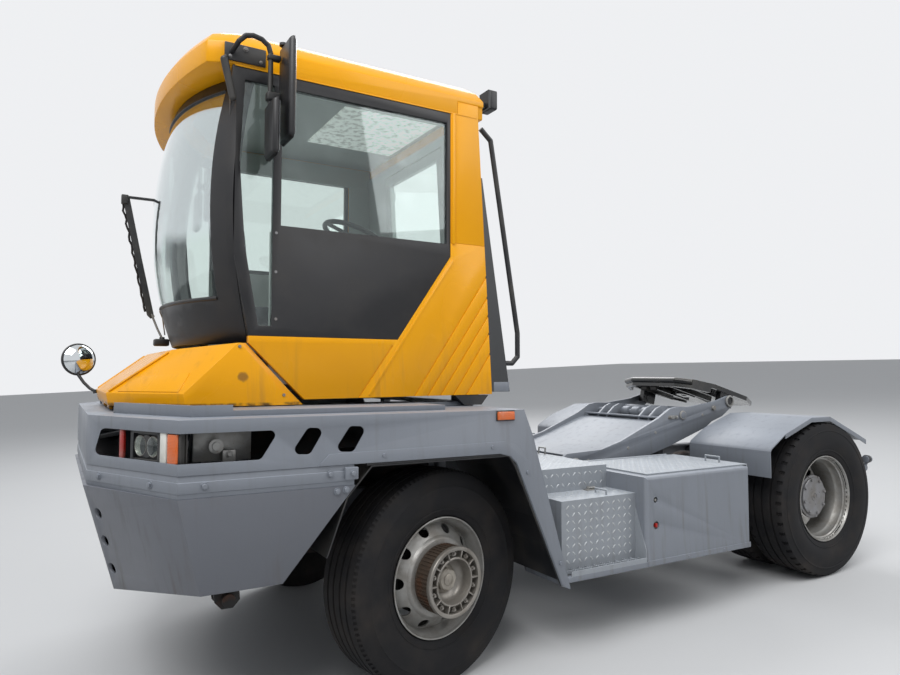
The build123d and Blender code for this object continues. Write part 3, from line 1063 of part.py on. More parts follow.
pieces = {
    "frame_rails": frame_rails(),
    "frame_crossmembers": frame_crossmembers(),
    "engine_block": engine(),
    "front_axle_beam": front_axle(),
    "front_springs": front_spring(),
    "rear_axle_casing": rear_axle(),
    "front_wing_left": shell_part(NOSE_Y, 1400),
    "front_wing_right": shell_part(-1400, -NOSE_Y),
    "nose_panel": shell_part(-NOSE_Y, NOSE_Y),
    "arch_liners": pair(arch_liner()),
    "lower_bumper": lower_bumper(),
    "bumper_rail": bumper_rail(),
    "cab_plinth": plinth(),
    "side_box_left": side_box(),
    "side_box_right": mirrored(side_box()),
    "box_lid_left": box_lid(),
    "box_lid_right": mirrored(box_lid()),
    "side_steps": pair(steps()),
    "deck_plate": deck_plate(),
    "rear_mudguards": pair(mudguard()),
    "headlamps": pair(lamps()),
    "knuckle_left": steered(knuckle()),
    "knuckle_right": steered_right(mirrored(knuckle())),
    "tie_rod": tie_rod(),
    "front_tyre_left": steered(tyre_front),
    "front_tyre_right": steered_right(mirrored(tyre_front)),
    "front_rim_left": steered(rim_front),
    "front_rim_right": steered_right(mirrored(rim_front)),
    "rear_tyres_left": tyres_rear,
    "rear_tyres_right": mirrored(tyres_rear),
    "rear_rims_left": rim_rear,
    "rear_rims_right": mirrored(rim_rear),
    "lift_boom": boom(),
    "fifth_wheel": fifth_wheel(),
    "lift_barrel_left": lift_barrel(LIFT_Y),
    "lift_barrel_right": lift_barrel(-LIFT_Y),
    "lift_rod_left": lift_rod(LIFT_Y),
    "lift_rod_right": lift_rod(-LIFT_Y),
    "cab_floor": cab_floor(),
    "cab_hood": hood(),
    "cab_sides": pair(cab_side()),
    "window_frames": pair(cab_window_frame()),
    "side_windows": pair(side_window()),
    "screen_surround": screen_surround(),
    "windscreen": windscreen(),
    "cab_back_wall": back_wall(),
    "cab_roof": roof(),
    "rear_door": rear_door(),
    "rear_door_glass": rear_glass(),
    "driver_station": station(),
    "steering_console": console(),
    "mirrors": pair(mirror_arm()) + hood_mirror(),
    "wiper": wiper(),
    "rear_fins": pair(rear_fin()),
    "cab_rail_and_lamp": grab_rail() + work_lamp(),
}

attitude = degrees(atan2(REAR_AXLE_RISE, FRONT_AXLE_X - REAR_AXLE_X))


def on_ground(piece):
    """Tip a piece with the chassis so that all tyres stand on the ground."""
    centre = Pos(0, 0, FRONT_AXLE_Z)
    drop = FRONT_AXLE_X * sin(radians(attitude))
    return Pos(0, 0, -drop) * centre * Rot(0, -attitude, 0) * centre.inverse() * piece


standing = {name: on_ground(piece) for name, piece in pieces.items()}
boxes = [piece.bounding_box() for piece in standing.values()]
row_shift = -(max(b.max.X for b in boxes) + min(b.min.X for b in boxes)) / 2
row_lift = (TYRE_WIDTH / 2 - SHOULDER) * sin(radians(STEER_AT_REST)) * sin(radians(attitude))

if __name__ == "__main__":
    for name, piece in standing.items():
        export_step(Pos(row_shift, 0, row_lift) * piece, f"parts/{name}.step")
    print(f"attitude {attitude:.5f} shift {row_shift:.5f} lift {row_lift:.5f}")
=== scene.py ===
import json
import math

import bmesh
import bpy
from mathutils import Matrix, Vector

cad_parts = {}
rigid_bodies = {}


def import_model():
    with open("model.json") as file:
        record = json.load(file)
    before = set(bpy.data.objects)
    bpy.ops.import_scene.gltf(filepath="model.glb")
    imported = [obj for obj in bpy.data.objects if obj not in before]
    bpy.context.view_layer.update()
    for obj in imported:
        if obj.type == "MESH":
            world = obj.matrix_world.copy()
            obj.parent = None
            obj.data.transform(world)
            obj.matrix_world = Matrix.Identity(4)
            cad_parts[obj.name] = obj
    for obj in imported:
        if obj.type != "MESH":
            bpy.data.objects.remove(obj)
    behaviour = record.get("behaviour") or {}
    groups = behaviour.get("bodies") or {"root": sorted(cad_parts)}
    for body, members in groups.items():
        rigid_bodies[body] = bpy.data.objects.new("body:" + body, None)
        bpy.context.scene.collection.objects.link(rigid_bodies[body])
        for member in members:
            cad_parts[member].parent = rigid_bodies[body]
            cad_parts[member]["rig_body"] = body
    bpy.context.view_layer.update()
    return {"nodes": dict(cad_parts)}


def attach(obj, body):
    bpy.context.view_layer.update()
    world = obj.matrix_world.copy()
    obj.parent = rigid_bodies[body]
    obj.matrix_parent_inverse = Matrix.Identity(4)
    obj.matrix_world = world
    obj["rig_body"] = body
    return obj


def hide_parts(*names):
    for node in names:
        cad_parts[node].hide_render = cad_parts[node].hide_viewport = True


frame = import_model()

# The chassis frame: +X forward, +Y left, +Z up, X = 0 under the left front rim, in metres.
# Every piece is drawn in it and then stood on the ground, which tips the chassis nose up.
ATTITUDE = math.radians(2.59415)
SHIFT = 1.007129
LIFT = 0.001074
AXLE_X, AXLE_Z = 0.055, 0.538
FRONT_WHEEL_Y = 0.957
REAR_AXLE_X, REAR_RISE = -3.035, 0.14
REAR_WHEEL_Y, TWIN_PITCH = 1.108, 0.35
STEER = math.radians(11.6)
KINGPIN_Y = 0.8

STAND = (
    Matrix.Translation((SHIFT, 0, LIFT + AXLE_Z - AXLE_X * math.sin(ATTITUDE)))
    @ Matrix.Rotation(-ATTITUDE, 4, "Y")
    @ Matrix.Translation((0, 0, -AXLE_Z))
)


# The photograph's camera, from its perspective: focal length and picture width in pixels, and where it stood.
FOCAL, PHOTO_WIDTH = 679, 900
SENSOR = 36.0
EYE = (1.707, 4.09, 1.562)
YAW, PITCH, ROLL = math.radians(149.76), math.radians(-2.99), math.radians(0.04)


def look_from_photo():
    """The camera, where the photograph's perspective puts it."""
    data = bpy.data.cameras.new("view")
    data.sensor_width = SENSOR
    data.lens = FOCAL / PHOTO_WIDTH * SENSOR
    data.clip_end = 200.0
    camera = bpy.data.objects.new("view", data)
    bpy.context.scene.collection.objects.link(camera)
    turn = Matrix.Rotation(YAW, 4, "Z") @ Matrix.Rotation(math.pi / 2 - PITCH, 4, "X")
    camera.matrix_world = STAND @ Matrix.Translation(EYE) @ turn @ Matrix.Rotation(ROLL, 4, "Z")
    bpy.context.scene.camera = camera


look_from_photo()
bpy.context.scene.view_settings.view_transform = "Standard"


class Signal:
    """A shader socket. Python's operators on it add Math nodes."""

    def __init__(self, shop, socket):
        self.shop = shop
        self.socket = socket

    def maths(self, operation, *values, clamp=False):
        return self.shop.node("Math", {"operation": operation, "use_clamp": clamp}, dict(enumerate(values)))

    def __add__(self, other):
        return self.maths("ADD", self, other)

    def __sub__(self, other):
        return self.maths("SUBTRACT", self, other)

    def __rsub__(self, other):
        return self.maths("SUBTRACT", other, self)

    def __mul__(self, other):
        return self.maths("MULTIPLY", self, other)

    def __truediv__(self, other):
        return self.maths("DIVIDE", self, other)

    __radd__ = __add__
    __rmul__ = __mul__

    def clamped(self):
        return self.maths("ADD", self, 0.0, clamp=True)

    def over(self, low, high):
        """0 below low, 1 above high and a soft step between."""
        return self.shop.node("MapRange", {"interpolation_type": "SMOOTHSTEP"},
                              {"Value": self, "From Min": low, "From Max": high})


class Finish:
    """One material and the nodes that make it."""

    def __init__(self, name, **fixed):
        self.material = bpy.data.materials.new(name)
        self.material.use_nodes = True
        tree = self.material.node_tree
        self.nodes, self.links = tree.nodes, tree.links
        self.shader = self.nodes["Principled BSDF"]
        for socket, value in fixed.items():
            self.shader.inputs[socket.replace("_", " ")].default_value = value
        self.place = self.node("TexCoord", out="Object")

    def node(self, kind, settings=None, values=None, out=0):
        """Add a node. Its settings are set first, then its sockets get values or links."""
        made = self.nodes.new("ShaderNode" + kind)
        for name, value in (settings or {}).items():
            setattr(made, name, value)
        for socket, value in (values or {}).items():
            self.feed(made.inputs[socket], value)
        return Signal(self, made.outputs[out])

    def feed(self, socket, value):
        if isinstance(value, Signal):
            self.links.new(value.socket, socket)
        elif hasattr(value, "__len__") and socket.type == "RGBA":
            socket.default_value = (*value[:3], 1.0)
        else:
            socket.default_value = value

    def cloud(self, scale, detail=4, stretch=(1, 1, 1)):
        """Noise from 0 to 1 on the piece's own coordinates."""
        at = self.node("Mapping", values={"Vector": self.place, "Scale": stretch})
        values = {"Vector": at, "Scale": scale, "Detail": detail, "Roughness": 0.55}
        return self.node("TexNoise", values=values)

    def cells(self, scale):
        """Distance from the middles of scattered cells."""
        return self.node("TexVoronoi", values={"Vector": self.place, "Scale": scale}, out="Distance")

    def ribs(self, direction, scale, wander=0.0):
        """Even waves along one direction."""
        return self.node("TexWave", {"wave_type": "BANDS", "bands_direction": direction},
                         {"Vector": self.place, "Scale": scale, "Distortion": wander})

    def axis(self, name):
        return self.node("SeparateXYZ", values={"Vector": self.place}, out=name)

    def level(self):
        """Height in the chassis frame, which leans a little on its wheels."""
        lean = self.node("VectorMath", {"operation": "DOT_PRODUCT"},
                         {0: self.place, 1: tuple(STAND.inverted()[2][:3])}, out="Value")
        return lean + STAND.inverted()[2][3]

    def facing_up(self):
        """1 on level tops, 0 on upright faces, -1 underneath."""
        normal = self.node("NewGeometry", out="Normal")
        return self.node("SeparateXYZ", values={"Vector": normal}, out="Z")

    def mix(self, share, first, second):
        """Colour first where share is 0 and second where it is 1."""
        made = self.nodes.new("ShaderNodeMix")
        made.data_type = "RGBA"
        self.feed(made.inputs[0], share)
        self.feed(made.inputs[6], first)
        self.feed(made.inputs[7], second)
        return Signal(self, made.outputs[2])

    def bump(self, height, depth, strength=1.0, under=None):
        values = {"Height": height, "Distance": depth, "Strength": strength}
        if under is not None:
            values["Normal"] = under
        return self.node("Bump", values=values)

    def set(self, **sockets):
        """Feed the shader's own sockets and give the finished material."""
        for name, value in sockets.items():
            self.feed(self.shader.inputs[name.replace("_", " ")], value)
        return self.material


def srgb(red, green, blue):
    """A colour as it reads on screen, 0 to 255, in the shader's own units."""
    tones = (red / 255, green / 255, blue / 255)
    return tuple(((c + 0.055) / 1.055) ** 2.4 if c > 0.04 else c / 12.92 for c in tones)


DUST = srgb(142, 134, 120)
MUD = srgb(86, 78, 68)
RUST = srgb(104, 62, 36)


# In the chassis frame: the stain on the hood's side and the level of the hood's scuffed foot.
HOOD_STAIN = (0.929, 0.8, 1.543)
HOOD_FOOT = 1.412


def cab_yellow():
    """Glossy cab paint with faint fading, grime low down and small touched-up marks."""
    f = Finish("cab yellow", Coat_Weight=0.08, Coat_Roughness=0.12, Specular_IOR_Level=0.25)
    fade = f.cloud(1.3, 3).over(0.35, 0.7)
    colour = f.mix(fade * 0.35, srgb(236, 164, 8), srgb(222, 148, 4))
    streaks = f.cloud(6, 5, stretch=(3, 3, 0.25)).over(0.52, 0.78)
    low = 1.0 - f.axis("Z").over(1.4, 1.95)
    colour = f.mix((streaks * low * 0.3).clamped(), colour, MUD)
    marks = (f.cells(9).over(0.02, 0.06) * -1 + 1) * f.cloud(2.1).over(0.58, 0.62)
    colour = f.mix(marks * 0.6, colour, srgb(150, 98, 30))
    patch = STAND @ Vector(HOOD_STAIN)
    away = f.node("VectorMath", {"operation": "DISTANCE"}, {0: f.place, 1: tuple(patch)}, out="Value")
    stain = (1.0 - (away + f.cloud(40, 4) * 0.02).over(0.026, 0.04)) * 0.8
    colour = f.mix(stain, colour, srgb(126, 88, 40))
    scuff = (1.0 - f.level().over(HOOD_FOOT, HOOD_FOOT + 0.012)) * f.cloud(14, 5).over(0.42, 0.6)
    colour = f.mix((scuff * 0.85).clamped(), colour, srgb(40, 36, 32))
    peel = f.cloud(240, 2)
    return f.set(Base_Color=colour, Roughness=0.26 + streaks * low * 0.25 + fade * 0.06,
                 Normal=f.bump(peel, 0.0004, 0.35))


def chassis_grey(name="chassis grey", tone=(127, 131, 139), grime=0.45):
    """Thick grey paint sprayed over old steel: soft mottling, a painted highlight on level tops, mud low
    down.
    """
    f = Finish(name, Specular_IOR_Level=0.5, Coat_Weight=0.12, Coat_Roughness=0.25)
    base = srgb(*tone)
    pale = tuple(min(1.0, c * 1.75) for c in base)
    patch = f.cloud(2.2, 5).over(0.3, 0.7)
    colour = f.mix(patch * 0.45, base, tuple(c * 0.86 for c in base))
    # Painted highlight: level tops are mixed towards a paler copy of the grey, for light falling from above.
    top = f.facing_up().over(0.5, 0.95)
    colour = f.mix((top * (0.55 + patch * 0.3)).clamped(), colour, pale)
    runs = f.cloud(9, 5, stretch=(2.5, 2.5, 0.22)).over(0.5, 0.8)
    low = 1.0 - f.axis("Z").over(0.35, 1.0)
    colour = f.mix((runs * grime * (0.35 + low)).clamped(), colour, MUD)
    specks = (1.0 - f.cells(60).over(0.03, 0.1)) * f.cloud(3).over(0.5, 0.65)
    colour = f.mix(specks * 0.5, colour, srgb(70, 66, 64))
    skin = f.cloud(90, 3)
    waves = f.cloud(4, 3)
    rough = 0.42 + runs * 0.2 + patch * 0.08
    return f.set(Base_Color=colour, Roughness=rough,
                 Normal=f.bump(skin, 0.0006, 0.4, under=f.bump(waves, 0.004, 0.25)))


def plain_black(name="black plastic", tone=(38, 39, 42), rough=0.45, grain=420, dust=0.25, coat=0.0):
    """Black moulding or paint with a fine grain and a little dust."""
    f = Finish(name, Specular_IOR_Level=0.45, Coat_Weight=coat, Coat_Roughness=0.15)
    film = f.cloud(5, 5).over(0.42, 0.72)
    top = f.facing_up().over(0.2, 0.9)
    colour = f.mix((film * dust + top * dust * 0.8).clamped(), srgb(*tone), DUST)
    return f.set(Base_Color=colour, Roughness=rough + film * 0.15,
                 Normal=f.bump(f.cloud(grain, 2), 0.0003, 0.5))


def rubber():
    """Worn tyre rubber, brownish where the yard's mud dried."""
    f = Finish("tyre rubber", Specular_IOR_Level=0.2)
    dry = f.cloud(7, 6).over(0.4, 0.75)
    patch = f.cloud(2.5, 4).over(0.5, 0.75)
    colour = f.mix(dry * 0.2, srgb(27, 27, 29), srgb(72, 67, 62))
    colour = f.mix(patch * 0.1, colour, srgb(112, 100, 88))
    fine = f.cloud(160, 4)
    return f.set(Base_Color=colour, Roughness=0.72 + dry * 0.15, Normal=f.bump(fine, 0.0008, 0.5))


def silver(name="rim silver", tone=(152, 151, 148), grime=0.7):
    """Silver wheel paint, dulled by brake dust and specked with rust."""
    f = Finish(name, Metallic=0.55, Specular_IOR_Level=0.5)
    dust = f.cloud(10, 6).over(0.35, 0.75)
    spots = (1.0 - f.cells(70).over(0.05, 0.16)) * f.cloud(5).over(0.45, 0.6)
    colour = f.mix(dust * grime, srgb(*tone), srgb(112, 106, 98))
    colour = f.mix((spots * 0.7).clamped(), colour, RUST)
    return f.set(Base_Color=colour, Roughness=0.36 + dust * 0.25, Normal=f.bump(f.cloud(120, 4), 0.0006, 0.4))


def iron(name="greasy iron", tone=(44, 43, 43), shine=0.4, rust=0.35):
    """Dark running gear, oily in places and rusty in others."""
    f = Finish(name, Metallic=0.5, Specular_IOR_Level=0.5)
    oil = f.cloud(5, 5).over(0.45, 0.7)
    red = f.cloud(11, 6).over(0.5, 0.72)
    colour = f.mix(red * rust, srgb(*tone), RUST)
    return f.set(Base_Color=colour, Roughness=(0.7 - oil * shine).clamped(),
                 Normal=f.bump(f.cloud(60, 5), 0.0015, 0.5))


# Above this level in the chassis frame the glass is given a painted reflection of the sky.
SKY_GLEAM_FROM = 2.3


def glass(name="cab glass", gleam=0.02, slope=1.0):
    """Tinted cab glass: clear enough to see in, with the sky on it at a slant and a painted sky reflection
    above a set height.
    """
    f = Finish(name, Metallic=1.0, Base_Color=(0.84, 0.9, 0.91, 1))
    film = f.cloud(8, 5).over(0.5, 0.8)
    f.set(Roughness=0.02 + film * 0.05)
    clear = f.node("BsdfTransparent", values={"Color": (0.92, 0.955, 0.94)}, out="BSDF")
    facing = f.node("LayerWeight", values={"Blend": 0.5}, out="Facing")
    slant = facing * facing * facing * facing * facing
    # Painted reflection: above a set height the glass turns more mirror-like, standing for the sky on its
    # upper part.
    haze_and_sky_gleam = (f.level() + f.cloud(2.6, 3) * 0.22).over(SKY_GLEAM_FROM, SKY_GLEAM_FROM + 0.12)
    share = (slant * slope + haze_and_sky_gleam * gleam + film * 0.03 + 0.04).clamped()
    mixed = f.node("MixShader", values={0: share, 1: clear, 2: Signal(f, f.shader.outputs[0])})
    f.links.new(mixed.socket, f.nodes["Material Output"].inputs["Surface"])
    return f.material


def cloth():
    """Woven seat cloth."""
    f = Finish("seat cloth", Specular_IOR_Level=0.2, Sheen_Weight=0.3)
    weave = f.ribs("DIAGONAL", 260, 1)
    tone = f.cloud(30, 3).over(0.3, 0.7)
    return f.set(Base_Color=f.mix(tone * 0.5, srgb(58, 60, 66), srgb(38, 40, 46)), Roughness=0.85,
                 Normal=f.bump(weave, 0.0008, 0.5))


def clear_lens():
    """Ribbed white lamp lens."""
    f = Finish("clear lens", Specular_IOR_Level=0.6, Coat_Weight=0.5, Coat_Roughness=0.03)
    ribs = f.ribs("Y", 60)
    haze_and_sky_gleam = f.cloud(12, 4).over(0.4, 0.7)
    colour = f.mix(haze_and_sky_gleam * 0.4, srgb(214, 214, 206), srgb(160, 158, 150))
    return f.set(Base_Color=colour, Roughness=0.12 + haze_and_sky_gleam * 0.15, Normal=f.bump(ribs, 0.001, 0.6))


def coloured_lens(name, tone):
    """Moulded lamp lens with fine ribs and a dusty film."""
    f = Finish(name, Specular_IOR_Level=0.5, Coat_Weight=0.25, Coat_Roughness=0.05)
    ribs = f.ribs("Z", 55)
    haze_and_sky_gleam = f.cloud(10, 4).over(0.4, 0.75)
    return f.set(Base_Color=f.mix(haze_and_sky_gleam * 0.3, srgb(*tone), DUST), Roughness=0.15 + haze_and_sky_gleam * 0.2,
                 Normal=f.bump(ribs, 0.001, 0.6))


def mirror_glass():
    """Silvered glass with a film of dust."""
    f = Finish("mirror glass", Metallic=1.0)
    film = f.cloud(9, 4).over(0.5, 0.8)
    colour = f.mix(film * 0.3, srgb(214, 218, 220), srgb(150, 148, 142))
    return f.set(Base_Color=colour, Roughness=0.02 + film * 0.12)


def skylight():
    """Milky roof light, given a painted glow for the sky behind it and speckled with dirt."""
    # Painted light: the panel glows with its own colour, though it is no lamp.
    f = Finish("roof light", Emission_Strength=0.4)
    dirt = f.cloud(26, 6).over(0.44, 0.66)
    colour = f.mix(dirt * 0.7, srgb(224, 230, 226), srgb(132, 140, 134))
    return f.set(Base_Color=colour, Emission_Color=colour, Roughness=0.4 + dirt * 0.2)


def chrome():
    """Chromed rod, smeared along its length."""
    f = Finish("rod chrome", Metallic=1.0)
    smear = f.cloud(14, 5, stretch=(1, 1, 4)).over(0.45, 0.75)
    colour = f.mix(smear * 0.5, srgb(206, 208, 210), srgb(96, 88, 78))
    return f.set(Base_Color=colour, Roughness=0.14 + smear * 0.3, Normal=f.bump(f.cloud(200, 2), 0.0002, 0.4))


finishes = {
    "yellow": cab_yellow(),
    "grey": chassis_grey(tone=(116, 121, 129)),
    # The bumper's darker grey is partly road grime and partly painted shade for its faces that lean down
    # towards the ground.
    "bumper": chassis_grey("bumper grey", (92, 95, 102), 0.6),
    "frame": chassis_grey("frame grey", (88, 91, 96), 0.8),
    "lining": chassis_grey("cab lining grey", (172, 178, 175), 0.1),
    "black": plain_black("black plastic", (28, 29, 32), 0.42, 420, 0.1),
    "gloss_black": plain_black("gloss black", (27, 28, 30), 0.22, 200, 0.1, 0.5),
    "moulding": plain_black("black moulding", (20, 20, 23), 0.4, 500, 0.03, 0.06),
    "rubber": rubber(),
    "silver": silver(),
    "iron": iron(),
    "glass": glass(),
    "cloth": cloth(),
    "lens": clear_lens(),
    "chrome": chrome(),
    "hub": silver("hub silver", (138, 134, 128), 0.8),
    "rusty": iron("rusty hub iron", (78, 66, 56), 0.1, 0.5),
    "cap": silver("cap silver", (164, 158, 148), 0.8),
    "hub_plate": silver("hub plate grey", (132, 132, 134), 0.7),
    "lug": silver("worn chequer lugs", (186, 190, 193), 0.3),
    "tread": chassis_grey("tread plate grey", (140, 145, 151), 0.3),
    "fin": chassis_grey("fin grey", (46, 48, 50), 0.3),
    # The windscreen's gleam of 0.5 gives its upper part a strong painted sky reflection.
    "screen": glass("windscreen glass", 0.5, 0.8),
    "zinc": silver("zinc plate", (150, 150, 148), 0.6),
    "red_paint": plain_black("red plastic", (168, 26, 22), 0.35, 300, 0.1),
    "red_lens": coloured_lens("red lens", (150, 20, 12)),
    "amber_lens": coloured_lens("amber lens", (206, 92, 6)),
    "mirror": mirror_glass(),
    "skylight": skylight(),
}

node_finish = {
    "frame": ("frame_rails", "frame_crossmembers", "lift_barrel_left", "lift_barrel_right"),
    "iron": ("engine_block", "front_axle_beam", "front_springs", "rear_axle_casing", "knuckle_left",
             "knuckle_right", "tie_rod"),
    "grey": ("front_wing_left", "front_wing_right", "nose_panel", "bumper_rail", "cab_plinth",
             "side_box_left", "side_box_right", "rear_mudguards", "lift_boom"),
    "tread": ("box_lid_left", "box_lid_right", "side_steps", "deck_plate"),
    "bumper": ("lower_bumper",),
    "fin": ("rear_fins",),
    "black": ("arch_liners", "wiper", "mirrors", "cab_rail_and_lamp", "steering_console", "cab_floor",
              "headlamps"),
    "gloss_black": ("fifth_wheel",),
    "moulding": ("screen_surround", "window_frames"),
    "yellow": ("cab_hood", "cab_sides", "cab_roof"),
    "lining": ("cab_back_wall", "rear_door"),
    "screen": ("windscreen",),
    "glass": ("side_windows", "rear_door_glass"),
    "rubber": ("front_tyre_left", "front_tyre_right", "rear_tyres_left", "rear_tyres_right"),
    "silver": ("front_rim_left", "front_rim_right", "rear_rims_left", "rear_rims_right"),
    "chrome": ("lift_rod_left", "lift_rod_right"),
    "cloth": ("driver_station",),
}


# Degrees: edges that bend less are shaded smooth, and a node's own edges that bend more are rounded.
SMOOTH_BELOW = 38
TYRE_SMOOTH = 30
BEVEL_ABOVE = 28


def soften(name, width):
    """A CAD node's own shape with its hard edges rounded, to stand for the node."""
    node = frame["nodes"][name]
    work = bmesh.new()
    work.from_mesh(node.data)
    bmesh.ops.remove_doubles(work, verts=work.verts, dist=2e-5)
    bmesh.ops.dissolve_limit(work, angle_limit=math.radians(0.4), verts=work.verts, edges=work.edges)
    steep = math.radians(BEVEL_ABOVE)
    hard = [e for e in work.edges if len(e.link_faces) == 2 and e.calc_face_angle(0) > steep]
    bmesh.ops.bevel(work, geom=hard, offset=width, offset_type="OFFSET", segments=2, profile=0.5,
                    affect="EDGES", clamp_overlap=True, material=-1)
    finish_form(work, name + "_formed", node["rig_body"], node_look[name], replaces=name)


def finish_form(work, name, body, finish, replaces=None, smooth=SMOOTH_BELOW, stand=False):
    """Turn a bmesh into a piece on its body. With stand, it is drawn in the chassis frame."""
    if stand:
        bmesh.ops.transform(work, matrix=STAND, verts=work.verts)
    for face in work.faces:
        face.smooth = True
    for edge in work.edges:
        if len(edge.link_faces) == 2:
            edge.smooth = edge.calc_face_angle(0) < math.radians(smooth)
    mesh = bpy.data.meshes.new(name)
    work.to_mesh(mesh)
    work.free()
    piece = bpy.data.objects.new(name, mesh)
    bpy.context.scene.collection.objects.link(piece)
    mesh.materials.append(finishes[finish])
    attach(piece, body)
    if replaces:
        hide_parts(replaces)
    return piece


def turned(work, points, steps=96, place=None):
    """Spin a profile of (radius, offset) pairs about Y. One that ends on the axis is left open there."""
    before = set(work.verts)
    verts = [work.verts.new((0.0, w, r)) for r, w in points]
    edges = [work.edges.new(two) for two in zip(verts[:-1], verts[1:])]
    if points[0][0] > 0:
        edges.append(work.edges.new((verts[-1], verts[0])))
    bmesh.ops.spin(work, geom=verts + edges, cent=(0, 0, 0), axis=(0, 1, 0), angle=math.tau, steps=steps,
                   use_merge=True)
    bmesh.ops.remove_doubles(work, verts=[v for v in work.verts if v not in before], dist=1e-6)
    made = [v for v in work.verts if v not in before]
    faces = list({f for v in made for f in v.link_faces})
    bmesh.ops.recalc_face_normals(work, faces=faces)
    if place is not None:
        bmesh.ops.transform(work, matrix=place, verts=made)
    return faces


def barrel(work, start, end, radius, sides=16, tip=None, place=None):
    """A round or many-sided bar from start to end, tapering to tip."""
    start, end = Vector(start), Vector(end)
    along = end - start
    turn = along.to_track_quat("Z", "Y").to_matrix().to_4x4()
    matrix = (place or Matrix()) @ Matrix.Translation((start + end) / 2) @ turn
    bmesh.ops.create_cone(work, cap_ends=True, segments=sides, radius1=radius,
                          radius2=radius if tip is None else tip, depth=along.length, matrix=matrix)


def brick(work, low, high, round_off=0.0, segments=2, place=None):
    """A box between two corners, with its edges rounded."""
    low, high = Vector(low), Vector(high)
    size = Matrix.Diagonal((*(high - low), 1.0))
    made = bmesh.ops.create_cube(work, size=1.0, matrix=Matrix.Translation((low + high) / 2) @ size)["verts"]
    if round_off:
        edges = list({e for v in made for e in v.link_edges})
        faces = bmesh.ops.bevel(work, geom=edges, offset=round_off, offset_type="OFFSET", segments=segments,
                                profile=0.5, affect="EDGES", clamp_overlap=True, material=-1)
        made = list({v for f in faces["faces"] for v in f.verts})
    if place is not None:
        bmesh.ops.transform(work, matrix=place, verts=made)
    return made


def ball(work, at, radius, rings):
    """A small sphere."""
    bmesh.ops.create_uvsphere(work, u_segments=rings * 2, v_segments=rings, radius=radius,
                              matrix=Matrix.Translation(at))


def hex_bolt(work, at, width, head, out=(0, 1, 0), place=None):
    """A six-sided head on its washer, looking outwards unless out says otherwise."""
    at, out = Vector(at), Vector(out)
    foot = at + out * 0.003
    barrel(work, at - out * 0.001, foot, width * 0.78, 18, width * 0.74, place)
    barrel(work, foot, foot + out * head * 0.8, width * 0.56, 6, None, place)
    barrel(work, foot + out * head * 0.8, foot + out * head, width * 0.52, 18, width * 0.4, place)


def pin(work, x, z, start, end, radius, sides=16, tip=None, place=None):
    """A round bar across the machine, from one Y to another."""
    barrel(work, (x, start, z), (x, end, z), radius, sides, tip, place)


WHEEL_NUTS = 10
LUG_PITCH, LUG_LIFT = 0.041, 0.0004


def tyre_form(profile, steps, low, high, notch, every):
    """A tyre from half of its section, with notches in the faces between two (radius, offset) limits."""
    work = bmesh.new()
    turned(work, profile + [(r, -w) for r, w in profile[::-1]], steps)
    cut = []
    for face in work.faces:
        at = face.calc_center_median()
        if low[0] < math.hypot(at.x, at.z) < high[0] and low[1] < abs(at.y) < high[1]:
            if step_of(at, steps) % every == 0:
                cut.append(face)
    for face in bmesh.ops.extrude_discrete_faces(work, faces=cut)["faces"]:
        bmesh.ops.translate(work, vec=face.normal * -notch, verts=face.verts)
    return work


def step_of(at, steps):
    """Which step of a spin a point lies in."""
    return round((math.atan2(at.z, at.x) % math.tau) / math.tau * steps - 0.5)


FRONT_TYRE = [
    (0.2855, 0.104), (0.302, 0.1125), (0.305, 0.121), (0.316, 0.129), (0.33, 0.1345), (0.334, 0.1395),
    (0.338, 0.14), (0.341, 0.138), (0.362, 0.1465), (0.395, 0.1535), (0.42, 0.155), (0.446, 0.154),
    (0.452, 0.1552), (0.457, 0.1515), (0.48, 0.147), (0.5, 0.1415), (0.513, 0.137), (0.522, 0.133),
    (0.529, 0.126), (0.5345, 0.119), (0.5362, 0.104), (0.5368, 0.081), (0.529, 0.0795), (0.5275, 0.074),
    (0.529, 0.0685), (0.5374, 0.067), (0.5377, 0.033), (0.529, 0.0315), (0.5275, 0.026), (0.529, 0.0205),
    (0.5379, 0.019),
]
REAR_TYRE = [
    (0.2855, 0.104), (0.302, 0.1125), (0.305, 0.121), (0.318, 0.13), (0.332, 0.1345), (0.336, 0.14),
    (0.341, 0.1405), (0.344, 0.1385), (0.365, 0.1475), (0.4, 0.154), (0.425, 0.1548), (0.45, 0.153),
    (0.47, 0.15), (0.474, 0.152), (0.479, 0.1515), (0.482, 0.1475), (0.5, 0.143), (0.514, 0.14),
    (0.524, 0.137), (0.531, 0.129), (0.535, 0.118), (0.5362, 0.102), (0.5368, 0.071), (0.523, 0.069),
    (0.5215, 0.064), (0.523, 0.059), (0.5374, 0.057), (0.5379, 0.008), (0.524, 0.0065),
]


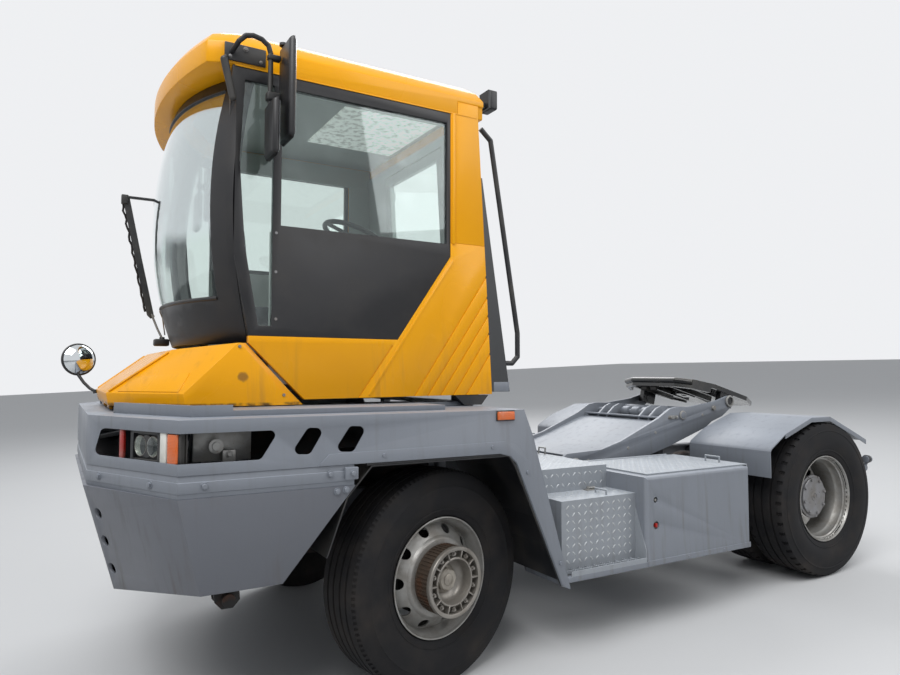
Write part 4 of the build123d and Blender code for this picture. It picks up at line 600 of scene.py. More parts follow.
def disc_with_holes(work, rim_r, hub_r, hole_at, hole_r, rim_w, hub_w, thick, steps=80):
    """A conical wheel disc with a ring of hand holes, filled between its circles and given its thickness."""
    plate = bmesh.new()
    edges = []
    for radius in (rim_r, hub_r):
        ring = bmesh.ops.create_circle(plate, segments=steps, radius=radius)["verts"]
        edges += {e for v in ring for e in v.link_edges}
    for index in range(WHEEL_NUTS):
        turn = Matrix.Rotation(math.tau * index / WHEEL_NUTS, 4, "Z")
        oval = Matrix.Diagonal((0.92, 1.08, 1.0, 1.0))
        ring = bmesh.ops.create_circle(plate, segments=20, radius=hole_r,
                                       matrix=turn @ Matrix.Translation((hole_at, 0, 0)) @ oval)["verts"]
        edges += {e for v in ring for e in v.link_edges}
    bmesh.ops.triangle_fill(plate, use_beauty=True, edges=edges)
    for vert in plate.verts:
        share = (rim_r - vert.co.xy.length) / (rim_r - hub_r)
        vert.co.z = rim_w + (hub_w - rim_w) * share
    bmesh.ops.recalc_face_normals(plate, faces=plate.faces)
    if sum(f.normal.z for f in plate.faces) < 0:
        bmesh.ops.reverse_faces(plate, faces=plate.faces)
    bmesh.ops.solidify(plate, geom=plate.faces, thickness=thick)
    bmesh.ops.rotate(plate, matrix=Matrix.Rotation(-math.pi / 2, 3, "X"), verts=plate.verts)
    join_in(work, plate)


def join_in(work, other):
    """Add another bmesh to this one."""
    mesh = bpy.data.meshes.new("joined")
    other.to_mesh(mesh)
    other.free()
    work.from_mesh(mesh)
    bpy.data.meshes.remove(mesh)


def front_rim():
    """Front wheel: rim with a bright lip, conical disc, and the shoulder that meets the hub ring."""
    work = bmesh.new()
    turned(work, [
        (0.2985, 0.1265), (0.2965, 0.1275), (0.2925, 0.127), (0.2885, 0.1225), (0.2865, 0.113),
        (0.282, 0.106), (0.27, 0.09), (0.266, 0.052), (0.26, 0.044), (0.258, -0.05), (0.262, -0.11),
        (0.277, -0.127), (0.298, -0.127), (0.298, -0.115), (0.285, -0.111), (0.273, -0.06), (0.273, 0.06),
        (0.285, 0.111), (0.298, 0.119),
    ], 112)
    disc_with_holes(work, 0.266, 0.203, 0.236, 0.0255, 0.046, 0.1, 0.008)
    turned(work, [
        (0.2045, 0.0985), (0.199, 0.106), (0.193, 0.113), (0.19, 0.115), (0.186, 0.116), (0.164, 0.1165),
        (0.164, 0.108), (0.186, 0.1075), (0.196, 0.096),
    ], 96)
    return work


def front_hub():
    """Ribbed hub ring with its ten nut pockets and the inner dish."""
    work = bmesh.new()
    turned(work, [
        (0.17, 0.2105), (0.1718, 0.215), (0.1718, 0.23), (0.169, 0.2345), (0.156, 0.235), (0.1515, 0.232),
        (0.15, 0.196), (0.119, 0.196), (0.118, 0.224), (0.115, 0.2265), (0.109, 0.226), (0.107, 0.22),
        (0.106, 0.18), (0.1, 0.164), (0.086, 0.15), (0.07, 0.144), (0.06, 0.143), (0.06, 0.13),
        (0.164, 0.13), (0.164, 0.2105),
    ], 120)
    for index in range(WHEEL_NUTS):
        turn = Matrix.Rotation(math.tau * (index + 0.5) / WHEEL_NUTS, 4, "Y")
        brick(work, (-0.0035, 0.19, 0.113), (0.0035, 0.2305, 0.156), 0.0012, 1, turn)
        nut = Matrix.Rotation(math.tau * index / WHEEL_NUTS, 4, "Y")
        pin(work, 0, 0.135, 0.1955, 0.201, 0.0155, 20, 0.015, nut)
        pin(work, 0, 0.135, 0.201, 0.218, 0.0125, 6, 0.0125, nut)
        pin(work, 0, 0.135, 0.218, 0.228, 0.007, 12, 0.006, nut)
    return work


RIB_STEPS = 108


def front_hub_ribs():
    """The rusty outside of the hub ring, with its fine upright ribs."""
    work = bmesh.new()
    ring = turned(work, [
        (0.1645, 0.1165), (0.1645, 0.126), (0.1645, 0.208), (0.1645, 0.211), (0.162, 0.211), (0.162, 0.1165),
    ], RIB_STEPS)
    raised = []
    for face in ring:
        at = face.calc_center_median()
        outside = 0.127 < at.y < 0.207 and math.hypot(at.x, at.z) > 0.1635
        if outside and step_of(at, RIB_STEPS) % 2 == 0:
            raised.append(face)
    for face in bmesh.ops.extrude_discrete_faces(work, faces=raised)["faces"]:
        at = face.calc_center_median()
        bmesh.ops.translate(work, vec=Vector((at.x, 0, at.z)).normalized() * 0.0042, verts=face.verts)
    return work


def front_cap():
    """Eight-sided hub cap with its round boss, on a flange."""
    work = bmesh.new()
    turned(work, [
        (0.0, 0.14), (0.06, 0.142), (0.068, 0.1435), (0.069, 0.149), (0.064, 0.152), (0.0, 0.152),
    ], 48)
    pin(work, 0, 0, 0.15, 0.17, 0.0585, 8, 0.0585)
    pin(work, 0, 0, 0.17, 0.1775, 0.0585, 8, 0.051)
    turned(work, [(0.0, 0.177), (0.029, 0.177), (0.029, 0.18), (0.027, 0.1815), (0.0, 0.1815)], 32)
    pin(work, 0, 0, 0.181, 0.1825, 0.0035, 12)
    return work


def rear_rim():
    """Outer rear rim with its step ring, and the dished disc deep inside it."""
    work = bmesh.new()
    turned(work, [
        (0.2985, 0.1265), (0.2965, 0.1275), (0.2925, 0.127), (0.289, 0.1225), (0.2875, 0.115),
        (0.285, 0.111), (0.28, 0.107), (0.279, 0.096), (0.2705, 0.09), (0.269, 0.06), (0.26, 0.045),
        (0.256, 0.038), (0.2545, -0.02), (0.256, -0.05), (0.264, -0.072), (0.268, -0.098), (0.276, -0.127),
        (0.298, -0.127), (0.298, -0.115), (0.285, -0.111), (0.273, -0.06), (0.273, 0.05), (0.285, 0.111),
        (0.298, 0.119),
    ], 112)
    disc_with_holes(work, 0.262, 0.175, 0.223, 0.029, -0.1, -0.15, 0.01)
    turned(work, [(0.176, -0.148), (0.174, -0.152), (0.12, -0.154), (0.12, -0.165), (0.178, -0.163)], 72)
    for index in range(WHEEL_NUTS):
        nut = Matrix.Rotation(math.tau * (index + 0.5) / WHEEL_NUTS, 4, "Y")
        pin(work, 0, 0.15, -0.153, -0.131, 0.0145, 6, 0.014, nut)
        pin(work, 0, 0.15, -0.131, -0.119, 0.008, 10, 0.007, nut)
    return work


def rear_hub():
    """Flat hub plate of a rear wheel with eight small bolts, its back ring and the planet hub behind."""
    work = bmesh.new()
    turned(work, [
        (0.0, -0.153), (0.118, -0.153), (0.12, -0.1), (0.13, -0.05), (0.132, 0.012), (0.15, 0.014),
        (0.152, 0.018), (0.151, 0.029), (0.134, 0.031), (0.133, 0.04), (0.13, 0.043), (0.033, 0.0435),
        (0.031, 0.046), (0.024, 0.0465), (0.023, 0.044), (0.0, 0.044),
    ], 72)
    for index in range(8):
        turn = Matrix.Rotation(math.tau * (index + 0.3) / 8, 4, "Y")
        hex_bolt(work, (0, 0.043, 0.12), 0.017, 0.008, place=turn)
        brick(work, (-0.012, 0.029, 0.14), (0.012, 0.033, 0.154), 0.001, 1, turn)
    for angle, at, size in ((0.4, 0.06, 0.014), (2.2, 0.066, 0.01), (3.4, 0.055, 0.012), (5.1, 0.07, 0.012)):
        turn = Matrix.Rotation(angle, 4, "Y")
        pin(work, 0, at, 0.043, 0.0452, size / 2, 14, size / 2.3, turn)
    pin(work, 0, 0, 0.044, 0.048, 0.0105, 20, 0.0095)
    return work


def front_tyre():
    return tyre_form(FRONT_TYRE, 240, (0.523, 0.118), (0.5355, 0.134), 0.0035, 2)


def rear_tyre():
    return tyre_form(REAR_TYRE, 144, (0.525, 0.103), (0.5361, 0.136), 0.009, 3)


def wheel_place(side, offset):
    """Where a front wheel stands: turned about its kingpin, with its outside away from the machine."""
    face = Matrix.Diagonal((1, side, 1, 1))
    return (STAND @ Matrix.Translation((AXLE_X, side * KINGPIN_Y, AXLE_Z)) @ Matrix.Rotation(STEER, 4, "Z")
            @ face @ Matrix.Translation((0, offset, 0)))


def hub_place(side, inward=0.0):
    """Where a rear wheel stands, or its inner twin."""
    face = Matrix.Diagonal((1, side, 1, 1))
    return STAND @ face @ Matrix.Translation((REAR_AXLE_X, REAR_WHEEL_Y - inward, AXLE_Z + REAR_RISE))


def mount_wheel(make, name, place, body, finish, replaces=None, smooth=SMOOTH_BELOW):
    """One wheel piece at its place. A mirrored place turns the faces inside out, so they are turned back."""
    work = make()
    bmesh.ops.transform(work, matrix=place, verts=work.verts)
    if place.determinant() < 0:
        bmesh.ops.reverse_faces(work, faces=work.faces)
    finish_form(work, name, body, finish, replaces, smooth)


def inner_rim():
    """Rim of the inner rear wheel, with the hub and brake drum that close its middle."""
    work = bmesh.new()
    turned(work, [
        (0.298, 0.127), (0.277, 0.127), (0.262, 0.11), (0.258, 0.05), (0.26, -0.05), (0.277, -0.127),
        (0.298, -0.127), (0.298, -0.115), (0.285, -0.111), (0.273, -0.06), (0.273, 0.06), (0.285, 0.111),
        (0.298, 0.115),
    ], 80)
    turned(work, [
        (0.26, 0.06), (0.12, 0.17), (0.057, 0.17), (0.057, 0.03), (0.057, -0.129), (0.2045, -0.129),
        (0.2045, 0.03), (0.19, 0.038), (0.17, 0.118), (0.26, 0.05),
    ], 80)
    return work


def wheels():
    """Tyres, rims and hubs of all four wheels."""
    for side, hand in ((1, "left"), (-1, "right")):
        place = wheel_place(side, FRONT_WHEEL_Y - KINGPIN_Y)
        body = "front_wheel_" + hand
        tyre, rim = "front_tyre_" + hand, "front_rim_" + hand
        mount_wheel(front_tyre, tyre + "_tread", place, body, "rubber", tyre, TYRE_SMOOTH)
        mount_wheel(front_rim, rim + "_turned", place, body, "silver", rim)
        mount_wheel(front_hub, "front_hub_" + hand, place, body, "hub")
        mount_wheel(front_hub_ribs, "front_hub_ribs_" + hand, place, body, "rusty")
        mount_wheel(front_cap, "front_cap_" + hand, place, body, "cap")
        body, tyre, rim = "rear_wheels_" + hand, "rear_tyres_" + hand, "rear_rim_" + hand
        outer, inner = hub_place(side), hub_place(side, TWIN_PITCH)
        mount_wheel(rear_tyre, "rear_tyre_outer_" + hand, outer, body, "rubber", tyre, TYRE_SMOOTH)
        mount_wheel(rear_tyre, "rear_tyre_inner_" + hand, inner, body, "rubber", None, TYRE_SMOOTH)
        mount_wheel(rear_rim, rim + "_turned", outer, body, "silver", "rear_rims_" + hand)
        mount_wheel(rear_hub, "rear_hub_" + hand, outer, body, "hub_plate")
        mount_wheel(inner_rim, "rear_inner_rim_" + hand, inner, body, "silver")


def tube(work, points, radius, sides=12):
    """A bent bar: straight runs with a ball in each bend."""
    for start, end in zip(points[:-1], points[1:]):
        barrel(work, start, end, radius, sides)
    for point in points[1:-1]:
        ball(work, point, radius, 6)


def sheet_of(work, outline, thick, place=None):
    """A plate with a given outline in its own XY plane, of even thickness."""
    verts = [work.verts.new((x, y, 0.0)) for x, y in outline]
    face = work.faces.new(verts)
    made = bmesh.ops.extrude_face_region(work, geom=[face])["geom"]
    top = [v for v in made if isinstance(v, bmesh.types.BMVert)]
    bmesh.ops.translate(work, vec=(0, 0, thick), verts=top)
    faces = list({f for v in verts + top for f in v.link_faces})
    bmesh.ops.recalc_face_normals(work, faces=faces)
    if place is not None:
        bmesh.ops.transform(work, matrix=place, verts=verts + top)


def to_right(work):
    """Mirror a form to the machine's right side. That turns its faces inside out, so they are turned back."""
    bmesh.ops.transform(work, matrix=Matrix.Diagonal((1, -1, 1, 1)), verts=work.verts)
    bmesh.ops.reverse_faces(work, faces=work.faces)


def both_sides(work):
    """Add the same form on the machine's right side."""
    twin = work.copy()
    to_right(twin)
    join_in(work, twin)


def frame_of(origin, along, up):
    """A place whose X runs along, whose Y runs up, and whose Z points out of the face between them."""
    along, up = Vector(along).normalized(), Vector(up).normalized()
    out = along.cross(up)
    turn = Matrix((along, up, out)).transposed().to_4x4()
    return Matrix.Translation(origin) @ turn


def chequer(work, corner, width, height, upright=False):
    """Raised lugs that lean in turn, on a level plate or on an upright one that looks outwards.

    On an upright plate the lugs are mirrored, which leaves their faces inside out.
    """
    face = frame_of(corner, (1, 0, 0), (0, 0, 1) if upright else (0, 1, 0))
    if upright:
        face = face @ Matrix.Diagonal((1, 1, -1, 1))
    across, rows = int(width / LUG_PITCH), int(height / LUG_PITCH)
    for row in range(rows):
        for column in range(across):
            lean = Matrix.Rotation(math.radians(45 if (row + column) % 2 else -45), 4, "Z")
            place = ((column + 0.5) * width / across, (row + 0.5) * height / rows, LUG_LIFT)
            lug = Matrix.Translation(place) @ lean @ Matrix.Diagonal((0.0165, 0.005, 1, 1))
            bmesh.ops.create_cone(work, cap_ends=True, segments=8, radius1=1.0, radius2=0.55, depth=0.0022,
                                  matrix=face @ lug)


# The fifth wheel's own plate: its pivot on the boom and its tilt at rest.
PLATE_PIVOT = (-3.02, 0, 1.335)
PLATE = Matrix.Translation(PLATE_PIVOT) @ Matrix.Rotation(math.radians(-15), 4, "Y")

# The outer sides of the front shell, the boom and the cab, and the black bar along the wheel arch.
SHELL_SIDE = 1.25
BOOM_SIDE = 0.463
CAB_SIDE = 0.798
ARCH_BAR_Y = 1.236

# The front's left diagonal: X runs to the nose, Y outwards. The light cluster stands 120 mm behind it.
SLANT = Matrix(((0.4322, 0.9018, 0), (-0.9018, 0.4322, 0), (0, 0, 1))).to_4x4()
DIAGONAL = Matrix.Translation((1.28, SHELL_SIDE, 0)) @ SLANT
CLUSTER = Matrix.Translation((1.28, SHELL_SIDE - 0.12, 0)) @ SLANT @ Matrix.Translation((-1.18, 0, 0))

# In the cluster: the two round lamps and the foot and head of the lenses. On the machine: the tail lamp.
LAMP_XS, LAMP_Z = (1.262, 1.352), 1.26
LENS_FOOT, LENS_HEAD = 1.196, 1.324
TAIL_LAMP_Y, TAIL_LAMP_Z = 1.21, 0.915
LAMP_PIN = Matrix.Translation((1.117, 0, 1.258))
ISOLATOR_X, ISOLATOR_Z = -1.332, 0.682
WORK_LAMP = (-0.564, 0.71, 3.204)

DETAILS = []


def detail(body, finish, twin=False, place=None, replaces=None):
    """Note the function below as a piece of that name, in the chassis frame or in a place of its own."""
    def note(draw):
        DETAILS.append((draw, body, finish, twin, place, replaces))
        return draw
    return note


def details():
    """Small rigid pieces that ride the machine's bodies. One with a twin stands on both sides of it."""
    for draw, body, finish, twin, place, replaces in DETAILS:
        work = bmesh.new()
        draw(work)
        if place is not None:
            bmesh.ops.transform(work, matrix=place, verts=work.verts)
        if twin:
            both_sides(work)
        finish_form(work, draw.__name__, body, finish, replaces, stand=True)


@detail("chassis", "grey", twin=True)
def shell_bolts(work):
    """Bolts of the front shell and of the strip above the bumper."""
    for along, z in ((0.564, 1.113), (0.18, 1.11)):
        hex_bolt(work, (along, 0.0, z), 0.022, 0.01, place=DIAGONAL)
    for x, z in ((1.178, 1.112), (0.654, 1.121), (0.622, 1.044), (0.58, 1.048)):
        hex_bolt(work, (x, SHELL_SIDE, z), 0.021, 0.01)
    for x, z in ((0.399, 1.188), (-0.193, 1.193), (-0.409, 1.053), (-0.619, 0.565)):
        pin(work, x, z, SHELL_SIDE + 0.0035, SHELL_SIDE + 0.01, 0.01, 20, 0.0092)
        pin(work, x, z, SHELL_SIDE + 0.01, SHELL_SIDE + 0.0106, 0.005, 6)
    hex_bolt(work, (0.552, 1.262, 1.119), 0.02, 0.01)


@detail("chassis", "grey", twin=True)
def rail_ends(work):
    """Blocks that end the bolted strip."""
    brick(work, (0.526, 1.222, 1.092), (0.588, 1.262, 1.146), 0.004)


@detail("chassis", "black", twin=True)
def arch_bars(work):
    """Black bar that edges the wheel arch."""
    route = ((0.48, 1.152), (0.1, 1.152), (-0.296, 1.152), (-0.318, 1.128), (-0.349, 1.082), (-0.64, 0.444))
    tube(work, [(x, ARCH_BAR_Y, z) for x, z in route], 0.0095)


@detail("chassis", "iron", twin=True)
def towing_eyes(work):
    """Bracket and round pin beneath the lower bumper."""
    for y in (0.865, 0.925):
        sheet_of(work, [
            (0.965, 0.69), (1.085, 0.69), (1.065, 0.545), (1.035, 0.512), (0.985, 0.512), (0.955, 0.545),
        ], 0.012, frame_of((0, y, 0), (1, 0, 0), (0, 0, 1)))
    pin(work, 1.012, 0.558, 0.835, 0.957, 0.024, 24)
    pin(work, 1.012, 0.558, 0.957, 0.966, 0.03, 24, 0.028)


@detail("chassis", "red_lens", twin=True)
def red_lamps(work):
    """Red lens at the nose end of the cluster."""
    brick(work, (1.4705, 0.028, LENS_FOOT), (1.4995, 0.0455, LENS_HEAD), 0.006, 3, CLUSTER)


@detail("chassis", "lens", twin=True)
def white_lamps(work):
    """Clear marker lens beside the round lamps."""
    brick(work, (1.1605, 0.03, LENS_FOOT), (1.2035, 0.047, LENS_HEAD), 0.006, 3, CLUSTER)


@detail("chassis", "amber_lens", twin=True)
def amber_lamps(work):
    """Flasher, side marker and tail lamp."""
    brick(work, (1.088, 0.034, 1.2), (1.152, 0.049, 1.32), 0.007, 3, CLUSTER)
    brick(work, (-0.324, 1.2495, 1.3255), (-0.222, 1.264, 1.3675), 0.005, 3)
    barrel(work, (-3.628, TAIL_LAMP_Y, TAIL_LAMP_Z), (-3.652, TAIL_LAMP_Y, TAIL_LAMP_Z), 0.0255, 28, 0.022)


@detail("chassis", "black", twin=True)
def lamp_frames(work):
    """Black frames round the twin lamps, the flasher and the marker, and the tail lamp's foot."""
    for z in (1.19, 1.311):
        brick(work, (1.202, 0.0415, z), (1.413, 0.0455, z + 0.019), 0.002, 1, CLUSTER)
    for x in (1.202, 1.393):
        brick(work, (x, 0.0415, 1.19), (x + 0.02, 0.0455, 1.33), 0.002, 1, CLUSTER)
    brick(work, (1.08, 0.028, 1.192), (1.16, 0.0395, 1.328), 0.003, 1, CLUSTER)
    brick(work, (-0.33, 1.249, 1.3205), (-0.216, 1.2535, 1.3725), 0.002, 1)
    barrel(work, (-3.604, TAIL_LAMP_Y, TAIL_LAMP_Z), (-3.63, TAIL_LAMP_Y, TAIL_LAMP_Z), 0.031, 28, 0.029)


@detail("chassis", "hub", twin=True)
def lamp_reflectors(work):
    """Bowls behind the glasses of the round lamps."""
    for x in LAMP_XS:
        turned(work, [
            (0.0, 0.024), (0.018, 0.0255), (0.034, 0.031), (0.0405, 0.0385), (0.0425, 0.0385),
            (0.0425, 0.021), (0.0, 0.021),
        ], 40, CLUSTER @ Matrix.Translation((x, 0, LAMP_Z)))


@detail("chassis", "glass", twin=True)
def lamp_glasses(work):
    """Bulged glasses of the round lamps."""
    for x in LAMP_XS:
        turned(work, [
            (0.0, 0.0375), (0.04, 0.0365), (0.04, 0.0395), (0.03, 0.0425), (0.0, 0.045),
        ], 40, CLUSTER @ Matrix.Translation((x, 0, LAMP_Z)))


@detail("chassis", "zinc", twin=True)
def lamp_irons(work):
    """Galvanised pin and bracket behind the rear end of the lamp opening."""
    pin(work, 1.117, 1.258, 1.1, 1.165, 0.017, 24)
    turned(work, [
        (0.03, 1.15), (0.03, 1.158), (0.018, 1.16), (0.018, 1.148),
    ], 32, LAMP_PIN)
    brick(work, (1.035, 1.085, 1.19), (1.09, 1.15, 1.24), 0.004)
    hex_bolt(work, (1.062, 1.15, 1.222), 0.02, 0.01)
    brick(work, (0.96, 1.09, 1.19), (1.2, 1.1, 1.37), 0.003)


@detail("chassis", "lug", twin=True)
def step_chequer(work):
    """Lugs of the upper riser, the middle tread, the lower riser and the top tread."""
    rear, width = -1.23, 0.508
    chequer(work, (rear, 0.9262, 0.87), width, 0.118, upright=True)
    chequer(work, (rear, 0.936, 0.8622), width, 0.215)
    chequer(work, (rear, 1.1662, 0.512), width, 0.335, upright=True)
    chequer(work, (-1.262, 0.545, 1.0002), 0.55, 0.37)


@detail("chassis", "lug")
def deck_chequer(work):
    """Lugs of the deck plate behind the cab."""
    chequer(work, (-1.262, -0.53, 1.0002), 0.595, 1.06)


@detail("box_lid_left", "lug")
def lid_chequer_left(work):
    """Lugs of the left tool box's lid."""
    chequer(work, (-2.228, 0.602, 0.9683), 0.89, 0.572)


@detail("box_lid_right", "lug")
def lid_chequer_right(work):
    """Lugs of the right tool box's lid."""
    lid_chequer_left(work)
    to_right(work)


@detail("chassis", "grey", twin=True)
def grating_teeth(work):
    """Five teeth on each of the nine inner bars of the bottom step."""
    pitch = 0.5547 / 10
    for bar in range(1, 10):
        for tooth in range(5):
            x, y = -1.2547 + bar * pitch, 1.174 + tooth * 0.0155
            barrel(work, (x, y, 0.4975), (x, y, 0.505), 0.0042, 4, 0.0012)


@detail("chassis", "zinc", twin=True)
def step_irons(work):
    """Latch on the middle tread and pins of the tool box."""
    brick(work, (-1.142, 0.934, 0.8618), (-1.057, 0.976, 0.867), 0.002, 1)
    barrel(work, (-1.13, 0.955, 0.874), (-1.072, 0.955, 0.874), 0.0075, 16)
    brick(work, (-1.085, 0.948, 0.866), (-1.075, 0.962, 0.884), 0.001, 1)
    pin(work, -1.331, 0.827, 1.205, 1.248, 0.0085, 20, 0.008)
    pin(work, ISOLATOR_X, ISOLATOR_Z, 1.215, 1.236, 0.0215, 28, 0.0205)


@detail("chassis", "red_paint")
def isolator_key(work):
    """Red key of the battery switch, standing out of its ring."""
    brick(work, (-0.005, 1.235, -0.012), (0.005, 1.256, 0.012), 0.002,
          place=Matrix.Translation((ISOLATOR_X, 0, ISOLATOR_Z)))
    pin(work, ISOLATOR_X, ISOLATOR_Z, 1.232, 1.241, 0.011, 20, 0.01)


@detail("chassis", "grey", twin=True)
def box_sill_strips(work):
    """Strip along the foot of the tool box, with its two rivets."""
    brick(work, (-2.176, 1.2495, 0.4545), (-1.262, 1.2535, 0.486), 0.0015, 1)
    for x in (-1.6, -1.92):
        pin(work, x, 0.47, 1.2525, 1.256, 0.008, 16, 0.006)


@detail("boom", "zinc", twin=True)
def boom_pin_heads(work):
    """Heads, rings and keeper plates of the boom's pins."""
    for x, z, radius in ((-2.47, 1.24, 0.034), (-3.02, 1.335, 0.047), (-1.4, 0.935, 0.044)):
        turned(work, [
            (radius, 0), (radius + 0.001, 0.011), (radius - 0.004, 0.015), (radius * 0.72, 0.015),
            (radius * 0.7, 0),
        ], 36, Matrix.Translation((x, BOOM_SIDE, z)))
    turned(work, [(0, 0.019), (0.018, 0.018), (0.02, 0.014), (0.02, 0), (0, 0)], 28,
           Matrix.Translation((-2.825, BOOM_SIDE, 1.286)))
    brick(work, (-2.42, BOOM_SIDE + 0.0015, 1.214), (-2.316, BOOM_SIDE + 0.0075, 1.24), 0.002, 1)
    for x in (-2.336, -2.4):
        hex_bolt(work, (x, BOOM_SIDE + 0.007, 1.227), 0.019, 0.009)
    for x, z in ((-1.52, 0.955), (-1.9, 1.02), (-2.18, 1.12), (-2.7, 1.235)):
        pin(work, x, z, BOOM_SIDE + 0.0015, BOOM_SIDE + 0.0045, 0.012, 18, 0.01)


@detail("chassis", "zinc")
def deck_hooks(work):
    """Wire hooks for the hoses at the rear edge of the deck."""
    for y in (-0.3, -0.12, 0.12, 0.3):
        tube(work, [
            (-1.24, y - 0.035, 0.998), (-1.246, y - 0.035, 1.044), (-1.246, y + 0.035, 1.044),
            (-1.24, y + 0.035, 0.998),
        ], 0.0055)


@detail("coupling_plate", "iron", place=PLATE)
def plate_bolts(work):
    """Bolts and ring on the fifth wheel's plate, drawn on the tilted plate itself."""
    for x, y in ((0.335, 0.15), (0.335, -0.15), (0.25, 0.33), (0.25, -0.33), (-0.15, 0.38), (-0.15, -0.38)):
        hex_bolt(work, (x, y, 0.0945), 0.026, 0.01, out=(0, 0, 1))
    for y in (-0.105, 0.0):
        brick(work, (0.352, y - 0.042, 0.018), (0.384, y + 0.042, 0.052), 0.005)
        brick(work, (0.36, y - 0.03, -0.012), (0.378, y + 0.03, 0.02), 0.004)
    upright = Matrix.Rotation(math.pi / 2, 4, "X")
    turned(work, [(0.074, 0.09), (0.074, 0.0965), (0.07, 0.098), (0.062, 0.0965), (0.062, 0.09)], 48, upright)
    turned(work, [(0.034, 0.09), (0.033, 0.099), (0.026, 0.1), (0.0, 0.1), (0.0, 0.09)][::-1], 32,
           Matrix.Translation((0.23, -0.1, 0)) @ upright)


@detail("coupling_plate", "iron", place=PLATE)
def jaw_springs(work):
    """Two coil springs and the release rod under the plate."""
    for y in (-0.075, 0.075):
        for turn in range(9):
            at = (0.1 + turn * 0.016, y, 0.048)
            ring = Matrix.Translation(at) @ Matrix.Rotation(math.pi / 2, 4, "Z")
            turned(work, [(0.019, -0.003), (0.022, -0.003), (0.022, 0.003), (0.019, 0.003)], 20, ring)
        barrel(work, (0.08, y, 0.048), (0.25, y, 0.048), 0.01, 14)


@detail("cab", "yellow", twin=True)
def cab_trims(work):
    """Strips beside and above the side window."""
    brick(work, (-0.243, CAB_SIDE + 0.0005, 2.292), (-0.222, CAB_SIDE + 0.0095, 3.048), 0.003)
    brick(work, (-0.39, CAB_SIDE + 0.0005, 3.044), (0.99, CAB_SIDE + 0.0045, 3.052), 0.0015, 1)


@detail("cab", "hub_plate", twin=True)
def cab_screws(work):
    """Screws of the window frame, the hood and the mirror bracket."""
    for x, z in ((0.778, 2.057), (0.775, 1.825), (0.778, 2.25)):
        pin(work, x, z, CAB_SIDE - 0.0025, CAB_SIDE + 0.003, 0.008, 18, 0.007)
    for x, z in ((0.73, 1.454), (0.946, 1.688)):
        pin(work, x, z, CAB_SIDE, CAB_SIDE + 0.0065, 0.0085, 18, 0.0068)
    hex_bolt(work, (0.944, 0.8118, 3.128), 0.017, 0.008)
    for x in (0.87, 1.016):
        hex_bolt(work, (x, 0.8118, 3.08), 0.012, 0.005)


@detail("cab", "lining")
def headliner(work):
    """Moulded grey lining under the roof and inside the cab's sides."""
    sheet_of(work, [
        (-0.385, -0.745), (0.695, -0.745), (0.832, -0.685), (1.02, -0.3), (1.02, 0.3), (0.832, 0.685),
        (0.695, 0.745), (-0.385, 0.745),
    ], 0.012, Matrix.Translation((0, 0, 3.131)))
    for side in (-1, 1):
        brick(work, (-0.415, side * 0.7565 - 0.0035, 1.505), (0.8, side * 0.7565 + 0.0035, 2.262), 0.003, 1)
        brick(work, (-0.385, side * 0.748 - 0.01, 2.98), (0.76, side * 0.748 + 0.01, 3.128), 0.006)
        brick(work, (-0.385, side * 0.744 - 0.014, 2.262), (-0.215, side * 0.744 + 0.014, 2.99), 0.008)


@detail("cab", "skylight")
def hatch_light(work):
    """Light panel under the roof hatch."""
    brick(work, (-0.34, -0.29, 3.118), (0.27, 0.5, 3.1308), 0.008, 3)


@detail("cab", "yellow")
def hatch_lid(work):
    """Shut roof hatch on top of the roof, over the light in the lining."""
    brick(work, (-0.35, -0.32, 3.2485), (0.28, 0.5, 3.268), 0.008, 3)
    for y in (-0.22, 0.4):
        brick(work, (-0.372, y - 0.03, 3.2485), (-0.34, y + 0.03, 3.274), 0.003)


@detail("cab", "black")
def work_lamp_hood(work):
    """Stay that carries the work lamp on the roof's rear edge, and the lamp's rounded hood."""
    brick(work, (-0.522, 0.686, 3.156), (-0.4345, 0.734, 3.186), 0.003)
    brick(work, (-0.564, 0.656, 3.146), (-0.512, 0.764, 3.262), 0.01, 3)


@detail("cab", "lens")
def work_lamp_lens(work):
    """Glass of the work lamp."""
    turned(work, [
        (0.0, 0.006), (0.03, 0.005), (0.045, 0.0), (0.045, -0.006), (0.0, -0.006),
    ], 40, Matrix.Translation(WORK_LAMP) @ Matrix.Rotation(math.pi / 2, 4, "Z"))


@detail("cab", "mirror", twin=True)
def mirror_glasses(work):
    """Glasses of the two mirror heads."""
    brick(work, (0.7612, 0.878, 2.676), (0.7646, 1.036, 3.128), 0.0015, 1)
    brick(work, (0.8312, 0.886, 2.59), (0.8346, 1.026, 2.824), 0.0015, 1)


@detail("cab", "grey", twin=True)
def fin_feet(work):
    """Blocks under the fins."""
    brick(work, (-0.616, 0.738, 1.4525), (-0.506, 0.8, 1.51), 0.004)


@detail("driver_station", "black", replaces="driver_station")
def seat_frame(work):
    """Turntable, boot and seat frame."""
    barrel(work, (0.38, 0, 1.5005), (0.38, 0, 1.54), 0.3295, 64, 0.324)
    for z, size in ((1.545, 0.15), (1.595, 0.14), (1.645, 0.15), (1.695, 0.138), (1.745, 0.148)):
        brick(work, (0.535 - size * 0.68, -size, z), (0.535 + size * 0.68, size, z + 0.048), 0.016, 3)
    brick(work, (0.33, -0.23, 1.792), (0.78, 0.23, 1.836), 0.012, 3)
    tube(work, [(0.77, -0.225, 1.815), (0.862, -0.215, 1.98), (0.905, -0.2, 2.52)], 0.013)
    tube(work, [(0.77, 0.225, 1.815), (0.862, 0.215, 1.98), (0.905, 0.2, 2.52)], 0.013)
    for y in (-0.055, 0.055):
        barrel(work, (0.862, y, 2.5), (0.87, y, 2.64), 0.0065, 14)


PAD_VOXEL, PAD_PRESSURE, PAD_FRAMES = 0.008, 4.0, 14


